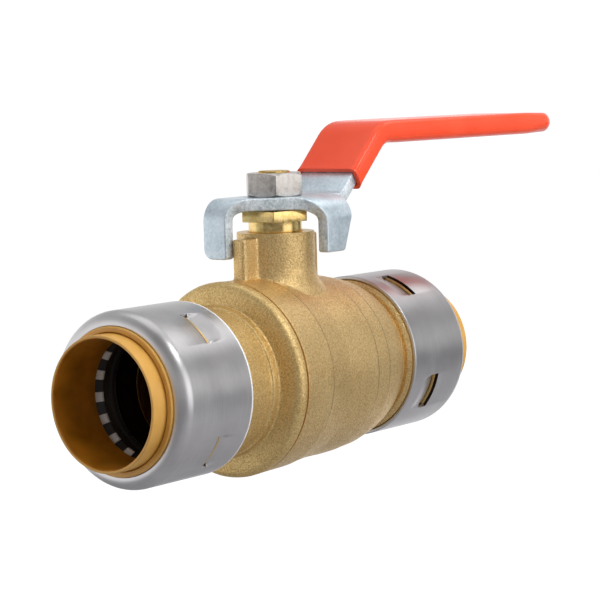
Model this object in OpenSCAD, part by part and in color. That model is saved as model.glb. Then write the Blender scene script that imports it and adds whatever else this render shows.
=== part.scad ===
// Push-to-connect ball valve for 28.6 mm (one inch nominal) tube, open position.
// Origin: centre of the ball. +X runs along the waterway to the outlet and the handle tip,
// +Z runs up the stem. All lengths are millimetres.

/* [Tube ports] */
// Outside diameter of the tube that pushes in
tube_d = 28.6; // [28.5:0.05:28.7]
// Outside diameter of the stainless retaining shells
shell_d = 40.56; // [40.4:0.02:40.8]
// Sheet thickness of the retaining shells
shell_wall = 0.8; // [0.6:0.05:0.8]
// Distance from the stem axis to the open edge of the inlet shell
inlet_x = 34.7; // [34.2:0.1:35.6]
// Distance from the stem axis to the open edge of the outlet shell
outlet_x = 28.9; // [28.6:0.1:29.6]
// How far a release collar pushes in
collar_travel = 2; // [1.4:0.1:2]
// Number of teeth on each grab ring
tooth_count = 18; // [12:1:20]

/* [Valve body] */
// Diameter of the waterway through the ball
waterway_d = 25; // [24:0.1:25.4]
// Diameter of the ball
ball_d = 36; // [35.8:0.1:36.2]
// Largest diameter of the barrel
barrel_d = 46.4; // [46:0.1:47]
// Diameter of the upright neck
neck_d = 18.84; // [18.4:0.04:19.2]
// Height of the neck's top face above the waterway axis
neck_top = 33.8; // [33.4:0.1:34]
// How far the stop lugs reach from the stem axis
lug_reach = 14.5; // [14.2:0.1:14.8]

/* [Handle] */
// Sheet thickness of the lever
lever_t = 3; // [2.8:0.1:3]
// Height of the lever plate's top face above the waterway axis
plate_top = 42.3; // [42.3:0.1:43]
// Width of the lever's arm
arm_w = 16; // [15:0.5:16.5]
// Thickness of the vinyl sleeve around the arm
sleeve_wall = 1.4; // [1:0.1:1.6]
// Height of the grip's centre above the waterway axis
grip_z = 56.5; // [54:0.5:60]
// Distance from the stem axis to the tip of the grip
tip_x = 118; // [105:1:130]
// Slope of the arm between the plate and the grip, in degrees
rise_angle = 44; // [40:1:48]

/* [Hidden] */

fine = 128;
arc_steps = 8;

forged = "#b08d4c";
turned_brass = "#d8b45c";
stainless = "#b9bbbd";
zinc = "#b4c0c8";
vinyl = "#f4553a";
amber = "#c99a4a";
black_plastic = "#2b2927";
ptfe = "#f1efe8";
rubber = "#1c1b1b";
chromed = "#d6d9dc";

// Port stations, measured outward from the shell's open edge along the tube
socket_r = tube_d / 2 + 0.15;
water_r = waterway_d / 2;
stop_s = -3.5;          // face that the tube's end comes to rest on
o_ring_seat_s = 7.2;
o_ring_section = 2.6;
protector_s = 10;
socket_end_s = 14.5;    // end face of the brass socket, under the grab ring
grab_t = 0.4;
guide_shoulder_s = 19;
nose_centre_s = 20.4;   // where the shell's nose begins to turn in
guide_front_s = 24.3;
rim_s = 28.5;           // outermost rim of the inlet's release collar
outlet_rim_s = 30.4;    // the outlet's collar stands further out
collar_flange_s = 17.1; // inner face of the flange that keeps the collar in
pressed_nose_s = 13.15; // where a pushed-in collar's nose has lifted the teeth
shell_r = shell_d / 2;
socket_outer_r = shell_r - shell_wall - 0.1;
nose_r = 3.2;
lip_r = shell_r - nose_r;
collar_r = 15.44;
collar_bore_r = socket_r - 0.05;
guide_bore_r = collar_r + 0.16;
flange_r = 16.35;
seal_bore_r = 17;
window_angle = 28;
window_s = 9.95;       // middle of the slit at a tab's free end
slit_w = 1.5;
hinge_s = 4;
tab_drop = 0.9;         // how far a tab's free end is pressed in
inlet_phase = 52;       // turn of the first window, about the tube
outlet_phase = 27;
tooth_phase = 15;
tooth_angle = 8.5;
tooth_tip_r = socket_r - 0.1;

// Body stations along the waterway
joint_x = -18.1;        // where the end adapter meets the body
cavity_r = ball_d / 2 + 0.9;
spigot_r = 20.4;
spigot_x = -11;
seal_t = 0.6;
seat_back_x = 14.65;
seat_front_x = 9.7;
seat_r = 18.3;
end_neck_r = 17.4;      // turned necks between the barrel and the shells
barrel_r = barrel_d / 2;
neck_r = neck_d / 2;
lug_w = 3.8;
lug_top = neck_top - 1.1;
lug_foot = 16;

// Stem stations up the stem axis
ball_r = ball_d / 2;
slot_z = 14.4;
slot_w = 6;
tang_w = 5.6;
tang_length = 15;
shoulder_z = 19.4;
shoulder_r = 7;
washer_z = 22;
washer_t = 0.8;
shaft_r = 4.9;
packing_z = 25;
packing_top = 29.5;
packing_r = 6.45;
gland_r = 6.5;
gland_hex_z = 36.4;
gland_hex_t = 2.7;
gland_af = 15.5;
gland_turn = 37;        // how far round each nut ended up when it was tightened
flat_w = 7;
thread_r = 4;
nut_af = 13;
nut_h = 5.7;
nut_turn = 42;
stem_top = plate_top + nut_h + 0.5;

// Lever stations
bend_out = 5.5;
bend_in = bend_out - lever_t;
stop_tab_x = 16.4;      // outer face of the open stop tab, on the inlet side
close_tab_y = 14.4;     // outer face of the closed stop tab, on the near side
tab_edge = lug_w / 2 + 0.1;
front_cut = 12.6;       // diagonal front edge: x + y = -front_cut
plate_back_y = 9;
open_tab_bottom = 28;
open_tab_corner = 2.5;  // rounding of its lower back corner
close_tab_bottom = 28.8;
close_tab_w = 12;
close_tab_foot_w = 9.6;
bend_overrun = 6;       // spare length of each bend, cut off by the diagonal front edge
rise_x = 17.1;          // where the arm's centre line starts to climb
plate_mid = plate_top - lever_t / 2;
knee_r = 3.5;           // centre-line radii of the arm's two bends
shoulder_bend_r = 8.2;
sleeve_start = 6.5;     // length of bare steel on the slope
grip_w = arm_w + 2 * sleeve_wall;

function arc(cx, cy, r, a0, a1, n = arc_steps) =
    [for (i = [0:n]) [cx + r * cos(a0 + (a1 - a0) * i / n), cy + r * sin(a0 + (a1 - a0) * i / n)]];

function six_sided_r(across_flats) = across_flats / 2 / cos(30);

// One side of the arm's bent centre line, set off by d to the upper side
function arm_side(d, x_start, x_end) =
    let (rise_run = (grip_z - plate_mid) / tan(rise_angle),
         knee_x = rise_x - knee_r * tan(rise_angle / 2),
         crest_x = rise_x + rise_run + shoulder_bend_r * tan(rise_angle / 2))
    concat([[x_start, plate_mid + d]],
        arc(knee_x, plate_mid + knee_r, knee_r - d, -90, rise_angle - 90),
        arc(crest_x, grip_z - shoulder_bend_r, shoulder_bend_r + d, 90 + rise_angle, 90),
        [[x_end, grip_z + d]]);

function arm_outline(half_t, x_start, x_end) =
    let (upper = arm_side(half_t, x_start, x_end), lower = arm_side(-half_t, x_start, x_end))
    concat(upper, [for (i = [len(lower) - 1:-1:0]) lower[i]]);

module at_inlet() translate([-inlet_x, 0, 0]) rotate([0, -90, 0]) children();
module at_outlet() translate([outlet_x, 0, 0]) rotate([0, 90, 0]) children();
module along_x() rotate([0, 90, 0]) children();

// Ring turned from a rectangle: radius inner to outer, height from low to high
module washer(inner, outer, low, high)
    rotate_extrude($fn = fine) polygon([[inner, low], [outer, low], [outer, high], [inner, high]]);

module hex_prism(across_flats, low, high)
    translate([0, 0, low]) cylinder(r = six_sided_r(across_flats), h = high - low, $fn = 6);

// ---- Tube ports ------------------------------------------------------------------------

// Brass wall around the tube, from the stop face out to the end under the grab ring
module socket_solid() {
    rotate_extrude($fn = fine) polygon([
        [seal_bore_r - 2, stop_s - 1], [end_neck_r, stop_s - 1], [end_neck_r, -0.1],
        [socket_outer_r - 0.3, -0.1], [socket_outer_r, 0.2], [socket_outer_r, hinge_s],
        [socket_outer_r - 1.1, hinge_s + 0.6], [socket_outer_r - 1.1, window_s - 0.6],
        [socket_outer_r, window_s - 0.6], [socket_outer_r, socket_end_s],
        [seal_bore_r, socket_end_s], [seal_bore_r, o_ring_seat_s], [socket_r, o_ring_seat_s],
        [socket_r, stop_s], [seal_bore_r - 2, stop_s]
    ]);
}

module shell_wall_profile(outer_r, tip_s) polygon(concat(
    [[shell_r - shell_wall, 0], [shell_r, 0]],
    arc(lip_r, nose_centre_s, outer_r, 0, 90),
    arc(lip_r, nose_centre_s, outer_r - shell_wall, 90, 0)
));

// Drawn cup with four lanced tabs that hold it on the brass socket
module shell(phase) {
    color(stainless) {
        difference() {
            rotate_extrude($fn = fine) shell_wall_profile(nose_r, nose_centre_s);
            for (i = [0:3]) rotate([0, 0, phase + 90 * i - window_angle / 2])
                rotate_extrude(angle = window_angle, $fn = fine)
                    translate([shell_r - 2, hinge_s]) square([3, window_s + slit_w / 2 - hinge_s]);
        }
        for (i = [0:3]) rotate([0, 0, phase + 90 * i - window_angle / 2])
            rotate_extrude(angle = window_angle, $fn = fine) polygon([
                [shell_r - shell_wall, hinge_s], [shell_r, hinge_s],
                [shell_r - tab_drop, window_s - slit_w / 2],
                [shell_r - shell_wall - tab_drop, window_s - slit_w / 2]
            ]);
    }
}

// Fixed plastic ring inside the nose, which guides the release collar
module guide() {
    inside_nose = nose_r - shell_wall - 0.1;
    color(amber) rotate_extrude($fn = fine) polygon(concat(
        [[flange_r + 0.2, socket_end_s + grab_t], [socket_outer_r, socket_end_s + grab_t]],
        arc(socket_outer_r - inside_nose, nose_centre_s, inside_nose, 0, 90),
        [[lip_r - 0.15, nose_centre_s + inside_nose], [lip_r - 0.15, guide_front_s - 0.3],
         [lip_r - 0.45, guide_front_s], [guide_bore_r + 0.3, guide_front_s],
         [guide_bore_r, guide_front_s - 0.3], [guide_bore_r, guide_shoulder_s],
         [flange_r + 0.2, guide_shoulder_s]]
    ));
}

// Sliding collar that is pushed in to lift the teeth off the tube
module release_collar(front_s) {
    nose_s = pressed_nose_s + collar_travel;
    rim_r = (collar_r - collar_bore_r) / 2;
    color(amber) rotate_extrude($fn = fine) polygon(concat(
        [[collar_bore_r, nose_s], [collar_r, nose_s + 1.1], [collar_r, collar_flange_s],
         [flange_r, collar_flange_s], [flange_r, guide_shoulder_s - 0.1],
         [collar_r, guide_shoulder_s - 0.1]],
        arc(collar_bore_r + rim_r, front_s - rim_r, rim_r, 0, 180)
    ));
}

// Thin steel ring whose teeth lean in towards the tube
module grab_ring() {
    root_r = 16.3;
    reach = 2.05;
    color(stainless) {
        washer(root_r, socket_outer_r - 0.6, socket_end_s, socket_end_s + grab_t);
        for (i = [0:tooth_count - 1])
            rotate([0, 0, tooth_phase + 360 * i / tooth_count - tooth_angle / 2])
                rotate_extrude(angle = tooth_angle, $fn = fine) polygon([
                    [root_r + 0.2, socket_end_s], [root_r + 0.2, socket_end_s + grab_t],
                    [root_r - 0.1, socket_end_s + grab_t],
                    [tooth_tip_r, socket_end_s + grab_t - reach],
                    [tooth_tip_r, socket_end_s - reach - 0.1]
                ]);
    }
}

// Stiff ring that keeps the tube's edge and the teeth off the O-ring
module protector()
    color(black_plastic) rotate_extrude($fn = fine) polygon([
        [socket_r + 0.05, protector_s], [seal_bore_r - 0.05, protector_s],
        [seal_bore_r - 0.05, socket_end_s], [seal_bore_r - 0.35, socket_end_s],
        [socket_r + 0.05, socket_end_s - 2.25]
    ]);

module o_ring()
    color(rubber) rotate_extrude($fn = fine)
        translate([seal_bore_r - 0.05 - o_ring_section / 2, o_ring_seat_s + 0.1 + o_ring_section / 2])
            circle(d = o_ring_section, $fn = 32);

module inlet_shell() at_inlet() shell(inlet_phase);
module inlet_guide() at_inlet() guide();
module inlet_release_collar() at_inlet() release_collar(rim_s);
module inlet_grab_ring() at_inlet() grab_ring();
module inlet_protector() at_inlet() protector();
module inlet_o_ring() at_inlet() o_ring();
module outlet_shell() at_outlet() shell(outlet_phase);
module outlet_guide() at_outlet() guide();
module outlet_release_collar() at_outlet() release_collar(outlet_rim_s);
module outlet_grab_ring() at_outlet() grab_ring();
module outlet_protector() at_outlet() protector();
module outlet_o_ring() at_outlet() o_ring();

// ---- Valve body ------------------------------------------------------------------------

// Barrel outline turned about the waterway, with its shallow forging steps
module barrel_solid()
    along_x() rotate_extrude($fn = fine) polygon([
        [0, joint_x], [barrel_r - 0.5, joint_x], [barrel_r, joint_x + 0.5],
        [barrel_r - 0.2, -8.3], [barrel_r - 0.32, -8.3], [barrel_r - 0.62, -4.8],
        [barrel_r - 1.05, -0.6], [barrel_r - 1, 7], [barrel_r - 1.05, 10.9],
        [barrel_r - 1.17, 10.9], [barrel_r - 1.5, 16.1], [barrel_r - 1.62, 16.1],
        [barrel_r - 2.4, 20.4], [barrel_r - 3.5, 24], [barrel_r - 4.8, 26.5],
        [barrel_r - 5.8, 27.2], [end_neck_r - 0.4, 27.2],
        [end_neck_r - 0.4, outlet_x + stop_s + 1], [0, outlet_x + stop_s + 1]
    ]);

module neck_solid() {
    cylinder(r = neck_r, h = neck_top, $fn = fine);
    rotate_extrude($fn = fine) polygon([
        [0, lug_foot], [neck_r + 2.6, lug_foot], [neck_r + 2, 19], [neck_r + 1.3, 20.8],
        [neck_r + 0.6, 22.4], [neck_r + 0.15, 23.8], [neck_r, 25], [0, 25]
    ]);
    for (side = [-1, 1]) translate([0, 0, lug_foot]) linear_extrude(lug_top - lug_foot)
        polygon([[0, -lug_w / 2], [side * (lug_reach - 0.5), -lug_w / 2],
                 [side * lug_reach, 0.5 - lug_w / 2], [side * lug_reach, lug_w / 2 - 0.5],
                 [side * (lug_reach - 0.5), lug_w / 2], [0, lug_w / 2]]);
}

// Everything bored or turned out of the body: ball cavity, waterway, adapter thread, stem
module body_hollow() {
    along_x() {
        translate([0, 0, joint_x - 1])
            cylinder(r = spigot_r + 0.1, h = spigot_x + seal_t - joint_x + 1, $fn = fine);
        translate([0, 0, spigot_x]) cylinder(r = cavity_r, h = seat_front_x - spigot_x, $fn = fine);
        cylinder(r = seat_r + 0.1, h = seat_back_x, $fn = fine);
        cylinder(r = water_r, h = 60, $fn = fine);
    }
    cylinder(r = shoulder_r + 0.2, h = washer_z + washer_t, $fn = fine);
    cylinder(r = shaft_r + 0.15, h = packing_z + 1, $fn = fine);
    translate([0, 0, packing_z]) cylinder(r = gland_r + 0.1, h = 20, $fn = fine);
}

module valve_body() {
    color(forged) difference() {
        union() {
            barrel_solid();
            at_outlet() socket_solid();
            neck_solid();
        }
        body_hollow();
        at_outlet() translate([0, 0, stop_s]) cylinder(r = socket_r, h = o_ring_seat_s - stop_s, $fn = fine);
    }
}

// Screwed-in end of the body: socket, turned neck, rim and threaded spigot
module end_adapter() {
    rim_x = -20.8;
    step_x = -24.4;
    color(turned_brass) {
        at_inlet() socket_solid();
        along_x() rotate_extrude($fn = fine) polygon([
            [water_r, -inlet_x - stop_s], [end_neck_r, -inlet_x - stop_s], [end_neck_r, step_x],
            [end_neck_r + 0.3, step_x], [end_neck_r + 0.3, rim_x - 1], [end_neck_r + 1.1, rim_x],
            [barrel_r - 0.7, rim_x], [barrel_r + 0.1, rim_x + 0.8], [barrel_r + 0.1, joint_x - 0.7],
            [barrel_r - 0.6, joint_x], [spigot_r, joint_x], [spigot_r, spigot_x],
            [seat_r + 0.15, spigot_x], [seat_r + 0.15, -seat_back_x], [water_r, -seat_back_x]
        ]);
    }
}

module adapter_seal()
    color(ptfe) along_x() washer(seat_r + 0.7, spigot_r, spigot_x, spigot_x + seal_t);

module seat_ring()
    difference() {
        along_x() washer(water_r + 0.1, seat_r, seat_front_x, seat_back_x);
        sphere(r = ball_r + 0.12, $fn = fine);
    }

module outlet_seat() color(ptfe) seat_ring();
module inlet_seat() color(ptfe) mirror([1, 0, 0]) seat_ring();

module ball()
    color(chromed) difference() {
        sphere(r = ball_r, $fn = fine);
        along_x() translate([0, 0, -ball_r]) cylinder(r = water_r, h = 2 * ball_r, $fn = fine);
        translate([-slot_w / 2, -ball_r, slot_z]) cube([slot_w, 2 * ball_r, ball_r]);
    }

// ---- Stem ------------------------------------------------------------------------------

module stem()
    color(turned_brass) {
        intersection() {
            translate([-tang_w / 2, -tang_length / 2, slot_z + 0.2])
                cube([tang_w, tang_length, shoulder_z + 1 - slot_z]);
            cylinder(r = shoulder_r, h = shoulder_z + 1, $fn = fine);
        }
        rotate_extrude($fn = fine) polygon([
            [0, shoulder_z], [shoulder_r, shoulder_z], [shoulder_r, washer_z],
            [shaft_r, washer_z], [shaft_r, plate_top - lever_t - 0.1], [0, plate_top - lever_t - 0.1]
        ]);
        intersection() {
            cylinder(r = shaft_r, h = plate_top - 0.1, $fn = fine);
            translate([-flat_w / 2, -shaft_r, plate_top - lever_t - 0.1])
                cube([flat_w, 2 * shaft_r, lever_t]);
        }
        rotate_extrude($fn = fine) polygon([
            [0, plate_top - 1], [thread_r - 0.55, plate_top - 1], [thread_r - 0.1, plate_top - 0.1],
            [thread_r - 0.1, stem_top - 0.6], [thread_r - 0.6, stem_top], [0, stem_top]
        ]);
    }

module thrust_washer()
    color(ptfe) washer(shaft_r + 0.1, shoulder_r + 0.1, washer_z, washer_z + washer_t);

module stem_packing()
    color(ptfe) washer(shaft_r + 0.1, packing_r, packing_z, packing_top);

// Male-threaded gland nut that squeezes the packing
module packing_nut()
    color(turned_brass) difference() {
        union() {
            cylinder(r = gland_r, h = gland_hex_z + gland_hex_t / 2, $fn = fine);
            intersection() {
                rotate([0, 0, gland_turn])
                    hex_prism(gland_af, gland_hex_z, gland_hex_z + gland_hex_t);
                translate([0, 0, gland_hex_z]) cylinder(r1 = gland_af / 2 + 2.5,
                    r2 = gland_af / 2 - 0.1, h = gland_hex_t, $fn = fine);
            }
        }
        cylinder(r = gland_r + 1, h = packing_top, $fn = fine);
        cylinder(r = shaft_r + 0.1, h = 60, $fn = fine);
    }

// ---- Handle ----------------------------------------------------------------------------

// Quarter-round bend along +Y, turning the plate's edge down towards -X
module edge_bend(length)
    rotate([-90, 0, 0]) rotate([0, 0, 180]) rotate_extrude(angle = 90, $fn = 64)
        translate([bend_in, 0]) square([lever_t, length]);

module open_tab() {
    bend_x = bend_out - stop_tab_x;
    intersection() {
        union() {
            translate([bend_x, -bend_overrun, plate_top - bend_out])
                edge_bend(plate_back_y + bend_overrun);
            translate([-stop_tab_x + lever_t, 0, 0]) rotate([0, -90, 0]) linear_extrude(lever_t)
                polygon(concat([[plate_top - bend_out, tab_edge], [open_tab_bottom, tab_edge]],
                    arc(open_tab_bottom + open_tab_corner, plate_back_y - open_tab_corner,
                        open_tab_corner, 180, 90),
                    [[plate_top - bend_out, plate_back_y]]));
        }
        linear_extrude(60) polygon([
            [-30, tab_edge], [-front_cut - tab_edge, tab_edge], [bend_x, -front_cut - bend_x],
            [bend_x, plate_back_y], [-30, plate_back_y]
        ]);
    }
}

module close_tab() {
    bend_y = bend_out - close_tab_y;
    intersection() {
        union() {
            translate([0, bend_y, plate_top - bend_out]) rotate([0, 0, 90])
                translate([0, -close_tab_w, 0]) edge_bend(close_tab_w + bend_overrun);
            translate([0, -close_tab_y + lever_t, 0]) rotate([90, 0, 0]) linear_extrude(lever_t)
                polygon([[tab_edge, plate_top - bend_out], [tab_edge, close_tab_bottom],
                         [close_tab_foot_w - 1, close_tab_bottom],
                         [close_tab_foot_w, close_tab_bottom + 1],
                         [close_tab_w, plate_top - bend_out]]);
        }
        linear_extrude(60) polygon([
            [tab_edge, -30], [tab_edge, -front_cut - tab_edge], [-front_cut - bend_y, bend_y],
            [close_tab_w, bend_y], [close_tab_w, -30]
        ]);
    }
}

module lever_plate() {
    bend_x = bend_out - stop_tab_x;
    bend_y = bend_out - close_tab_y;
    translate([0, 0, plate_top - lever_t]) linear_extrude(lever_t) polygon([
        [bend_x, -front_cut - bend_x], [-front_cut - bend_y, bend_y], [close_tab_w, bend_y],
        [rise_x - 3, -arm_w / 2], [rise_x - 3, arm_w / 2], [bend_x, plate_back_y]
    ]);
}

module arm_strip(half_t, width, x_start, x_end)
    translate([0, width / 2, 0]) rotate([90, 0, 0])
        linear_extrude(width) polygon(arm_outline(half_t, x_start, x_end));

module handle_lever()
    color(zinc) difference() {
        union() {
            lever_plate();
            open_tab();
            close_tab();
            intersection() {
                arm_strip(lever_t / 2, arm_w, rise_x - 3, tip_x - sleeve_wall);
                tip_trim(arm_w, tip_x - sleeve_wall);
            }
        }
        intersection() {
            translate([0, 0, plate_top - 5]) cylinder(r = shaft_r + 0.1, h = 10, $fn = fine);
            translate([-flat_w / 2 - 0.1, -10, plate_top - 5]) cube([flat_w + 0.2, 20, 10]);
        }
    }

// Plan outline that rounds the arm's free end
module tip_trim(width, x_end) {
    corner = width / 2 - 1.5;
    linear_extrude(80) polygon(concat(
        [[0, -width / 2]], arc(x_end - corner, corner - width / 2, corner, -90, 0),
        arc(x_end - corner, width / 2 - corner, corner, 0, 90), [[0, width / 2]]
    ));
}

module handle_sleeve() {
    half_t = lever_t / 2 + sleeve_wall;
    slope_start = [rise_x + sleeve_start * cos(rise_angle), 0,
                   plate_mid + sleeve_start * sin(rise_angle)];
    color(vinyl) difference() {
        intersection() {
            for (step = [0:2])
                arm_strip(half_t - 0.45 * step, grip_w - 2.4 + 1.2 * step, rise_x - 3, tip_x);
            tip_trim(grip_w, tip_x);
            translate(slope_start) rotate([0, -rise_angle, 0])
                translate([0, -grip_w, -tip_x]) cube([2 * tip_x, 2 * grip_w, 2 * tip_x]);
        }
        intersection() {
            arm_strip(lever_t / 2 + 0.02, arm_w + 0.04, rise_x - 4, tip_x - sleeve_wall + 0.02);
            tip_trim(arm_w + 0.04, tip_x - sleeve_wall + 0.02);
        }
    }
}

module handle_nut()
    color(stainless) difference() {
        intersection() {
            rotate([0, 0, nut_turn]) hex_prism(nut_af, plate_top, plate_top + nut_h);
            for (flip = [0, 1]) translate([0, 0, plate_top + nut_h / 2]) mirror([0, 0, flip])
                cylinder(r1 = nut_af / 2 + nut_h, r2 = nut_af / 2 - 0.1, h = nut_h / 2, $fn = fine);
        }
        translate([0, 0, plate_top - 1]) cylinder(r = thread_r, h = 20, $fn = fine);
    }

valve_body();
end_adapter();
adapter_seal();
ball();
inlet_seat();
outlet_seat();
stem();
thrust_washer();
stem_packing();
packing_nut();
handle_lever();
handle_sleeve();
handle_nut();
inlet_shell();
inlet_guide();
inlet_release_collar();
inlet_grab_ring();
inlet_protector();
inlet_o_ring();
outlet_shell();
outlet_guide();
outlet_release_collar();
outlet_grab_ring();
outlet_protector();
outlet_o_ring();
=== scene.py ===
"""Looks of a push-to-connect ball valve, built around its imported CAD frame.

Every size is in millimetres and turns into metres when a piece is placed. X runs along the
waterway towards the outlet and the handle tip, Z runs up the stem, and the origin is the
centre of the ball. A port's stations are measured outward from its shell's open edge.
"""

import logging
import math
from dataclasses import dataclass, field
from enum import Enum
from typing import Callable, Iterable, Sequence

import bmesh
import bpy
from mathutils import Matrix, Vector, noise


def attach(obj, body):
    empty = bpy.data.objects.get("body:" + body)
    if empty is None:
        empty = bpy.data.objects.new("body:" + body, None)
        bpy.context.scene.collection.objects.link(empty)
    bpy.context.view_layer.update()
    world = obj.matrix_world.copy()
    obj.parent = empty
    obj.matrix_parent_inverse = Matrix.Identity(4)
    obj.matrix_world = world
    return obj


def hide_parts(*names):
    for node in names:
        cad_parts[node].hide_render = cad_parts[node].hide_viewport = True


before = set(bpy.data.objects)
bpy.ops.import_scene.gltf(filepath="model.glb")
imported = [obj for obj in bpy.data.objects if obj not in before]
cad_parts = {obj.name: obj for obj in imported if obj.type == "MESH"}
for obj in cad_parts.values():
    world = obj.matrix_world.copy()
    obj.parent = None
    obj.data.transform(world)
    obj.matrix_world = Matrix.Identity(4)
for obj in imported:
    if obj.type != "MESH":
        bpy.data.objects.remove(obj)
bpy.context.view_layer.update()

MM = 0.001
# How far each shell's open edge stands from the ball's centre.
INLET_X = 34.7
OUTLET_X = 28.9
log = logging.getLogger("valve")

Socket = bpy.types.NodeSocket
Value = Socket | float | tuple


# ---- Mesh tools ------------------------------------------------------------------------------

@dataclass(frozen=True)
class Corner:
    """One corner of an outline that is turned about an axis.

    Args:
        radius: Distance from the axis.
        station: Distance along the axis.
        fillet: Radius that rounds the corner off, or 0 for a sharp one.
    """

    radius: float
    station: float
    fillet: float = 0.0


class Axis(Enum):
    """The line that a piece is turned about, and where its stations start."""

    PIPE = "pipe"
    STEM = "stem"
    INLET = "inlet"
    OUTLET = "outlet"

    def placement(self) -> Matrix:
        """Returns the transform from the turning axis (+Z) into the valve's frame."""
        if self is Axis.STEM:
            return Matrix.Identity(4)
        if self is Axis.PIPE:
            return Matrix.Rotation(math.radians(90), 4, "Y")
        if self is Axis.INLET:
            return Matrix.Translation((-INLET_X, 0, 0)) @ Matrix.Rotation(math.radians(-90), 4, "Y")
        return Matrix.Translation((OUTLET_X, 0, 0)) @ Matrix.Rotation(math.radians(90), 4, "Y")


def smoothstep(low: float, high: float, value: float) -> float:
    """Returns 0 below low, 1 above high, and an even ramp with soft ends between them."""
    share = min(max((value - low) / (high - low), 0.0), 1.0)
    return share * share * (3 - 2 * share)


def join_corners(bm: bmesh.types.BMesh, verts: Sequence[bmesh.types.BMVert],
                 fillets: Sequence[float], closed: bool, segments: int) -> None:
    """Joins corners with edges and rounds them off.

    Args:
        bm: The bmesh they are in.
        verts: The corners in order.
        fillets: Each corner's radius, or 0 for a sharp one.
        closed: True to join the last corner to the first.
        segments: Number of straight pieces in each fillet.
    """
    for first, second in zip(verts, verts[1:] + (verts[:1] if closed else [])):
        bm.edges.new((first, second))
    for vert, fillet in zip(verts, fillets):
        if not fillet:
            continue
        arms = [(edge.other_vert(vert).co - vert.co).normalized() for edge in vert.link_edges]
        half = arms[0].angle(arms[1]) / 2
        bmesh.ops.bevel(bm, geom=[vert], offset=fillet / math.tan(half), segments=segments,
                        offset_type="OFFSET", profile=0.5, affect="VERTICES",
                        clamp_overlap=False, material=-1)


def round_edges(bm: bmesh.types.BMesh, edges: Sequence[bmesh.types.BMEdge], width: float,
                segments: int) -> None:
    """Rounds chosen edges by a width in millimetres."""
    bmesh.ops.bevel(bm, geom=edges, offset=width, segments=segments, profile=0.5,
                    affect="EDGES", material=-1)


def raise_faces(bm: bmesh.types.BMesh, height: float) -> None:
    """Makes a solid of flat faces by drawing them upward."""
    made = bmesh.ops.extrude_face_region(bm, geom=bm.faces[:])
    bmesh.ops.translate(bm, vec=(0, 0, height),
                        verts=[v for v in made["geom"] if isinstance(v, bmesh.types.BMVert)])


def relax(bm: bmesh.types.BMesh, verts: Sequence[bmesh.types.BMVert], times: int) -> None:
    """Smooths vertices towards their neighbours a number of times."""
    for _ in range(times):
        bmesh.ops.smooth_vert(bm, verts=verts, factor=0.5, use_axis_x=True, use_axis_y=True,
                              use_axis_z=True)


def draw_outline(corners: Sequence[Corner], closed: bool, segments: int) -> bmesh.types.BMesh:
    """Draws an outline in the XZ plane and rounds its corners.

    Args:
        corners: The outline's corners in order.
        closed: True for a ring, False for a line whose ends lie on the axis or stay open.
        segments: Number of straight pieces in each fillet.

    Returns:
        A bmesh of edges only.
    """
    bm = bmesh.new()
    verts = [bm.verts.new((c.radius, 0.0, c.station)) for c in corners]
    join_corners(bm, verts, [c.fillet for c in corners], closed, segments)
    bmesh.ops.remove_doubles(bm, verts=bm.verts[:], dist=1e-4)
    return bm


def spin_round(bm: bmesh.types.BMesh, steps: int) -> None:
    """Turns an outline a full circle about Z, and closes its seam and poles."""
    bmesh.ops.spin(bm, geom=bm.verts[:] + bm.edges[:], cent=(0, 0, 0), axis=(0, 0, 1),
                   dvec=(0, 0, 0), angle=math.tau, steps=steps, use_merge=True,
                   use_duplicate=False)
    bmesh.ops.remove_doubles(bm, verts=bm.verts[:], dist=1e-4)
    bmesh.ops.recalc_face_normals(bm, faces=bm.faces[:])


def turned(corners: Sequence[Corner], axis: Axis, closed: bool = True, steps: int = 192,
           segments: int = 5) -> bmesh.types.BMesh:
    """Turns a solid or a ring from its outline.

    Args:
        corners: The outline's corners in order.
        axis: The line it is turned about.
        closed: True for a ring, False for an outline that starts and ends on the axis.
        steps: Number of faces round the axis.
        segments: Number of faces across each fillet.

    Returns:
        The placed bmesh, still in millimetres.
    """
    bm = draw_outline(corners, closed, segments)
    spin_round(bm, steps)
    bm.transform(axis.placement())
    return bm


def arc_blocks(corners: Sequence[Corner], axis: Axis, start: float, angle: float,
               count: int) -> bmesh.types.BMesh:
    """Returns short arcs of one section, spaced evenly round an axis.

    Args:
        corners: The section's corners.
        axis: The axis they stand round.
        start: Angle at which the first arc starts, in degrees.
        angle: Angle that each arc spans, in degrees.
        count: Number of arcs.

    Returns:
        The placed bmesh, in millimetres.
    """
    bm = draw_outline(corners, True, 1)
    bmesh.ops.rotate(bm, cent=(0, 0, 0), verts=bm.verts[:],
                     matrix=Matrix.Rotation(math.radians(start), 3, "Z"))
    section = bmesh.ops.contextual_create(bm, geom=bm.edges[:])["faces"]
    bmesh.ops.spin(bm, geom=section, cent=(0, 0, 0), axis=(0, 0, 1), dvec=(0, 0, 0),
                   angle=math.radians(angle), steps=max(6, round(angle / 2)), use_merge=False,
                   use_duplicate=False)
    bmesh.ops.recalc_face_normals(bm, faces=bm.faces[:])
    bmesh.ops.spin(bm, geom=bm.verts[:] + bm.edges[:] + bm.faces[:], cent=(0, 0, 0),
                   axis=(0, 0, 1), dvec=(0, 0, 0), angle=math.tau, steps=count,
                   use_merge=False, use_duplicate=True)
    bmesh.ops.remove_doubles(bm, verts=bm.verts[:], dist=1e-3)
    bm.transform(axis.placement())
    return bm


def block(first: Sequence[float], second: Sequence[float]) -> bmesh.types.BMesh:
    """Returns a box between any two opposite corners, in millimetres."""
    low, high = (tuple(map(pick, first, second)) for pick in (min, max))
    bm = bmesh.new()
    bmesh.ops.create_cube(bm, size=1.0)
    size = Vector(high) - Vector(low)
    bmesh.ops.scale(bm, vec=size, verts=bm.verts[:])
    bmesh.ops.translate(bm, vec=Vector(low) + size / 2, verts=bm.verts[:])
    return bm


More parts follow.
